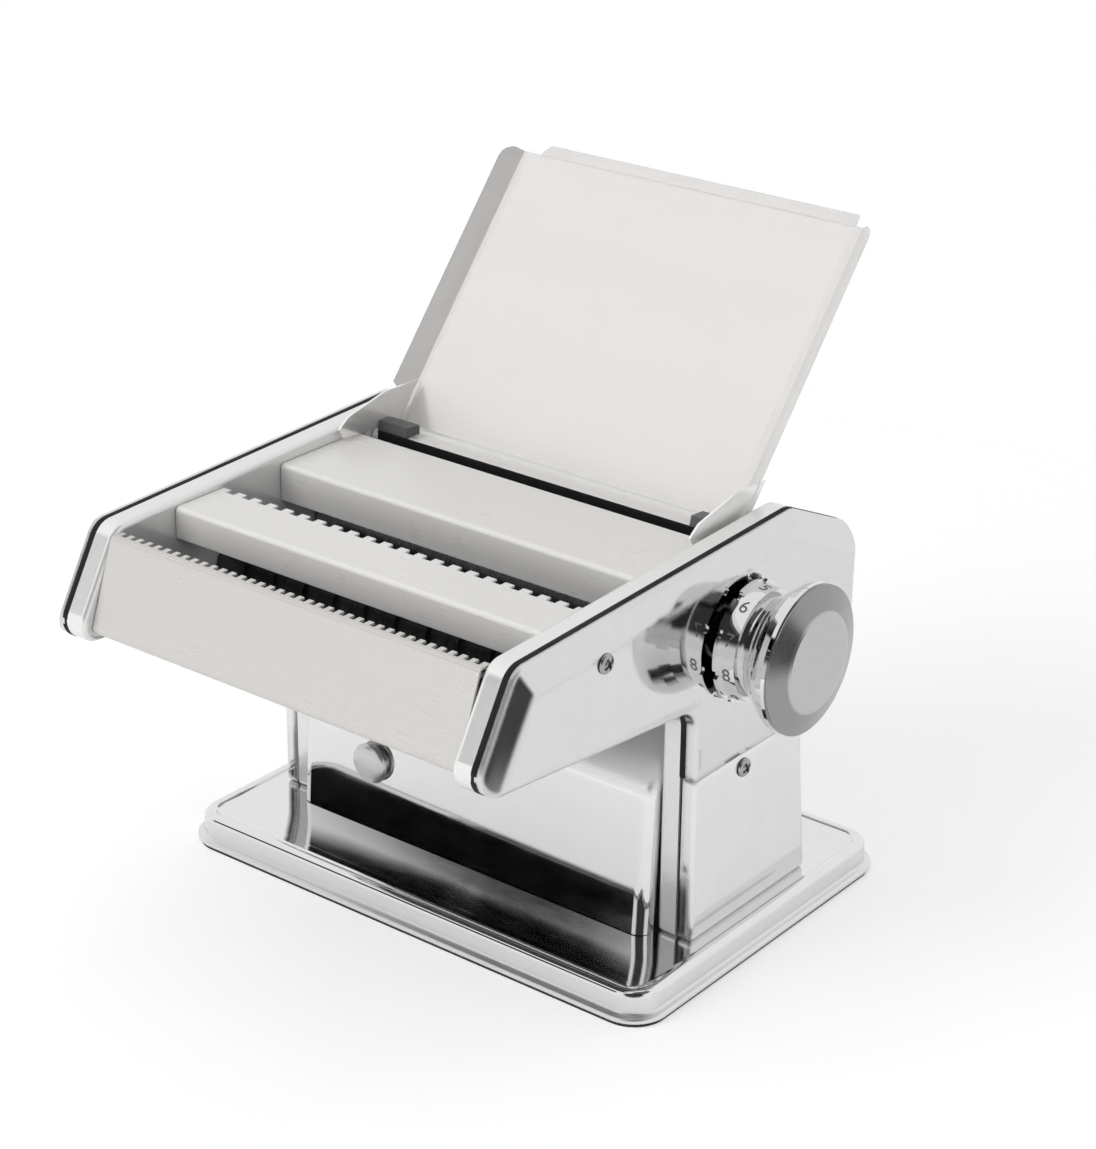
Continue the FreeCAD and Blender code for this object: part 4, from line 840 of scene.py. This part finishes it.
def floor_look():
    paper = Shader("pale_floor", Base_Color=FLOOR_TONE, Roughness=0.7, Specular_IOR_Level=0.0)
    tree = paper.tree
    glow = add_node(tree, "Emission", Color=WHITE)
    paper.link(paper.math("MULTIPLY", backdrop_rays(tree), FLOOR_GLOW), glow.inputs["Strength"])
    total = add_node(tree, "AddShader")
    paper.link(paper.bsdf.outputs[0], total.inputs[0])
    paper.link(glow.outputs[0], total.inputs[1])
    reach = add_node(tree, "VectorMath", operation="LENGTH")
    paper.link(add_node(tree, "TexCoord").outputs["Object"], reach.inputs[0])
    edge = map_range(tree, reach.outputs["Value"], 0.0, 1.0, *FLOOR_FADE, "SMOOTHSTEP")
    clear = add_node(tree, "BsdfTransparent")
    faded = mix_shaders(tree, edge, total.outputs[0], clear.outputs[0])
    paper.link(faded, tree.nodes["Material Output"].inputs["Surface"])
    return paper.material


floor = bpy.data.objects.new("floor", floor_mesh())
scene.collection.objects.link(floor)
floor.data.materials.append(floor_look())

# Soft lamps, which the metal doesn't mirror

AIM = Vector((0, -0.02, 0.09))

# Each lamp: its name, its place, its width and height, and its watts
SOFTBOXES = (
    ("key_softbox", (-0.8, -1.3, 1.4), (1.2, 1.2), 12.0),
    ("fill_softbox", (1.3, -1.1, 1.2), (1.0, 1.0), 5.0),
    ("back_softbox", (0.2, 1.3, 1.5), (1.4, 1.0), 4.0),
    ("low_softbox", (-0.3, -1.6, 0.35), (1.2, 0.6), 7.0),
)

for name, place, (width, height), watts in SOFTBOXES:
    light = bpy.data.lights.new(name, "AREA")
    light.shape = "RECTANGLE"
    light.size = width
    light.size_y = height
    light.energy = watts
    lamp = bpy.data.objects.new(name, light)
    lamp.location = place
    lamp.rotation_euler = (AIM - Vector(place)).to_track_quat("-Z", "Y").to_euler()
    lamp.visible_glossy = False
    scene.collection.objects.link(lamp)

# The camera, from the photograph's perspective: its place, and its right, up and forward directions

CAMERA_PLACE = Vector((0.539594, -0.701213, 0.495982))
CAMERA_RIGHT = Vector((0.789545, 0.613391, 0.019243))
CAMERA_UP = Vector((-0.260921, 0.307141, 0.915197))
CAMERA_FORWARD = Vector((-0.555463, 0.727609, -0.402548))
CAMERA_LENS = 89.55

camera_data = bpy.data.cameras.new("photo_camera")
camera_data.lens = CAMERA_LENS
camera_data.sensor_width = 36.0
camera_data.clip_start = 0.05
camera = bpy.data.objects.new("photo_camera", camera_data)
columns = (CAMERA_RIGHT, CAMERA_UP, -CAMERA_FORWARD, CAMERA_PLACE)
camera.matrix_world = Matrix([[column[row] for column in columns] for row in range(3)] + [[0, 0, 0, 1]])
scene.collection.objects.link(camera)
scene.camera = camera
scene.view_settings.view_transform = "Standard"
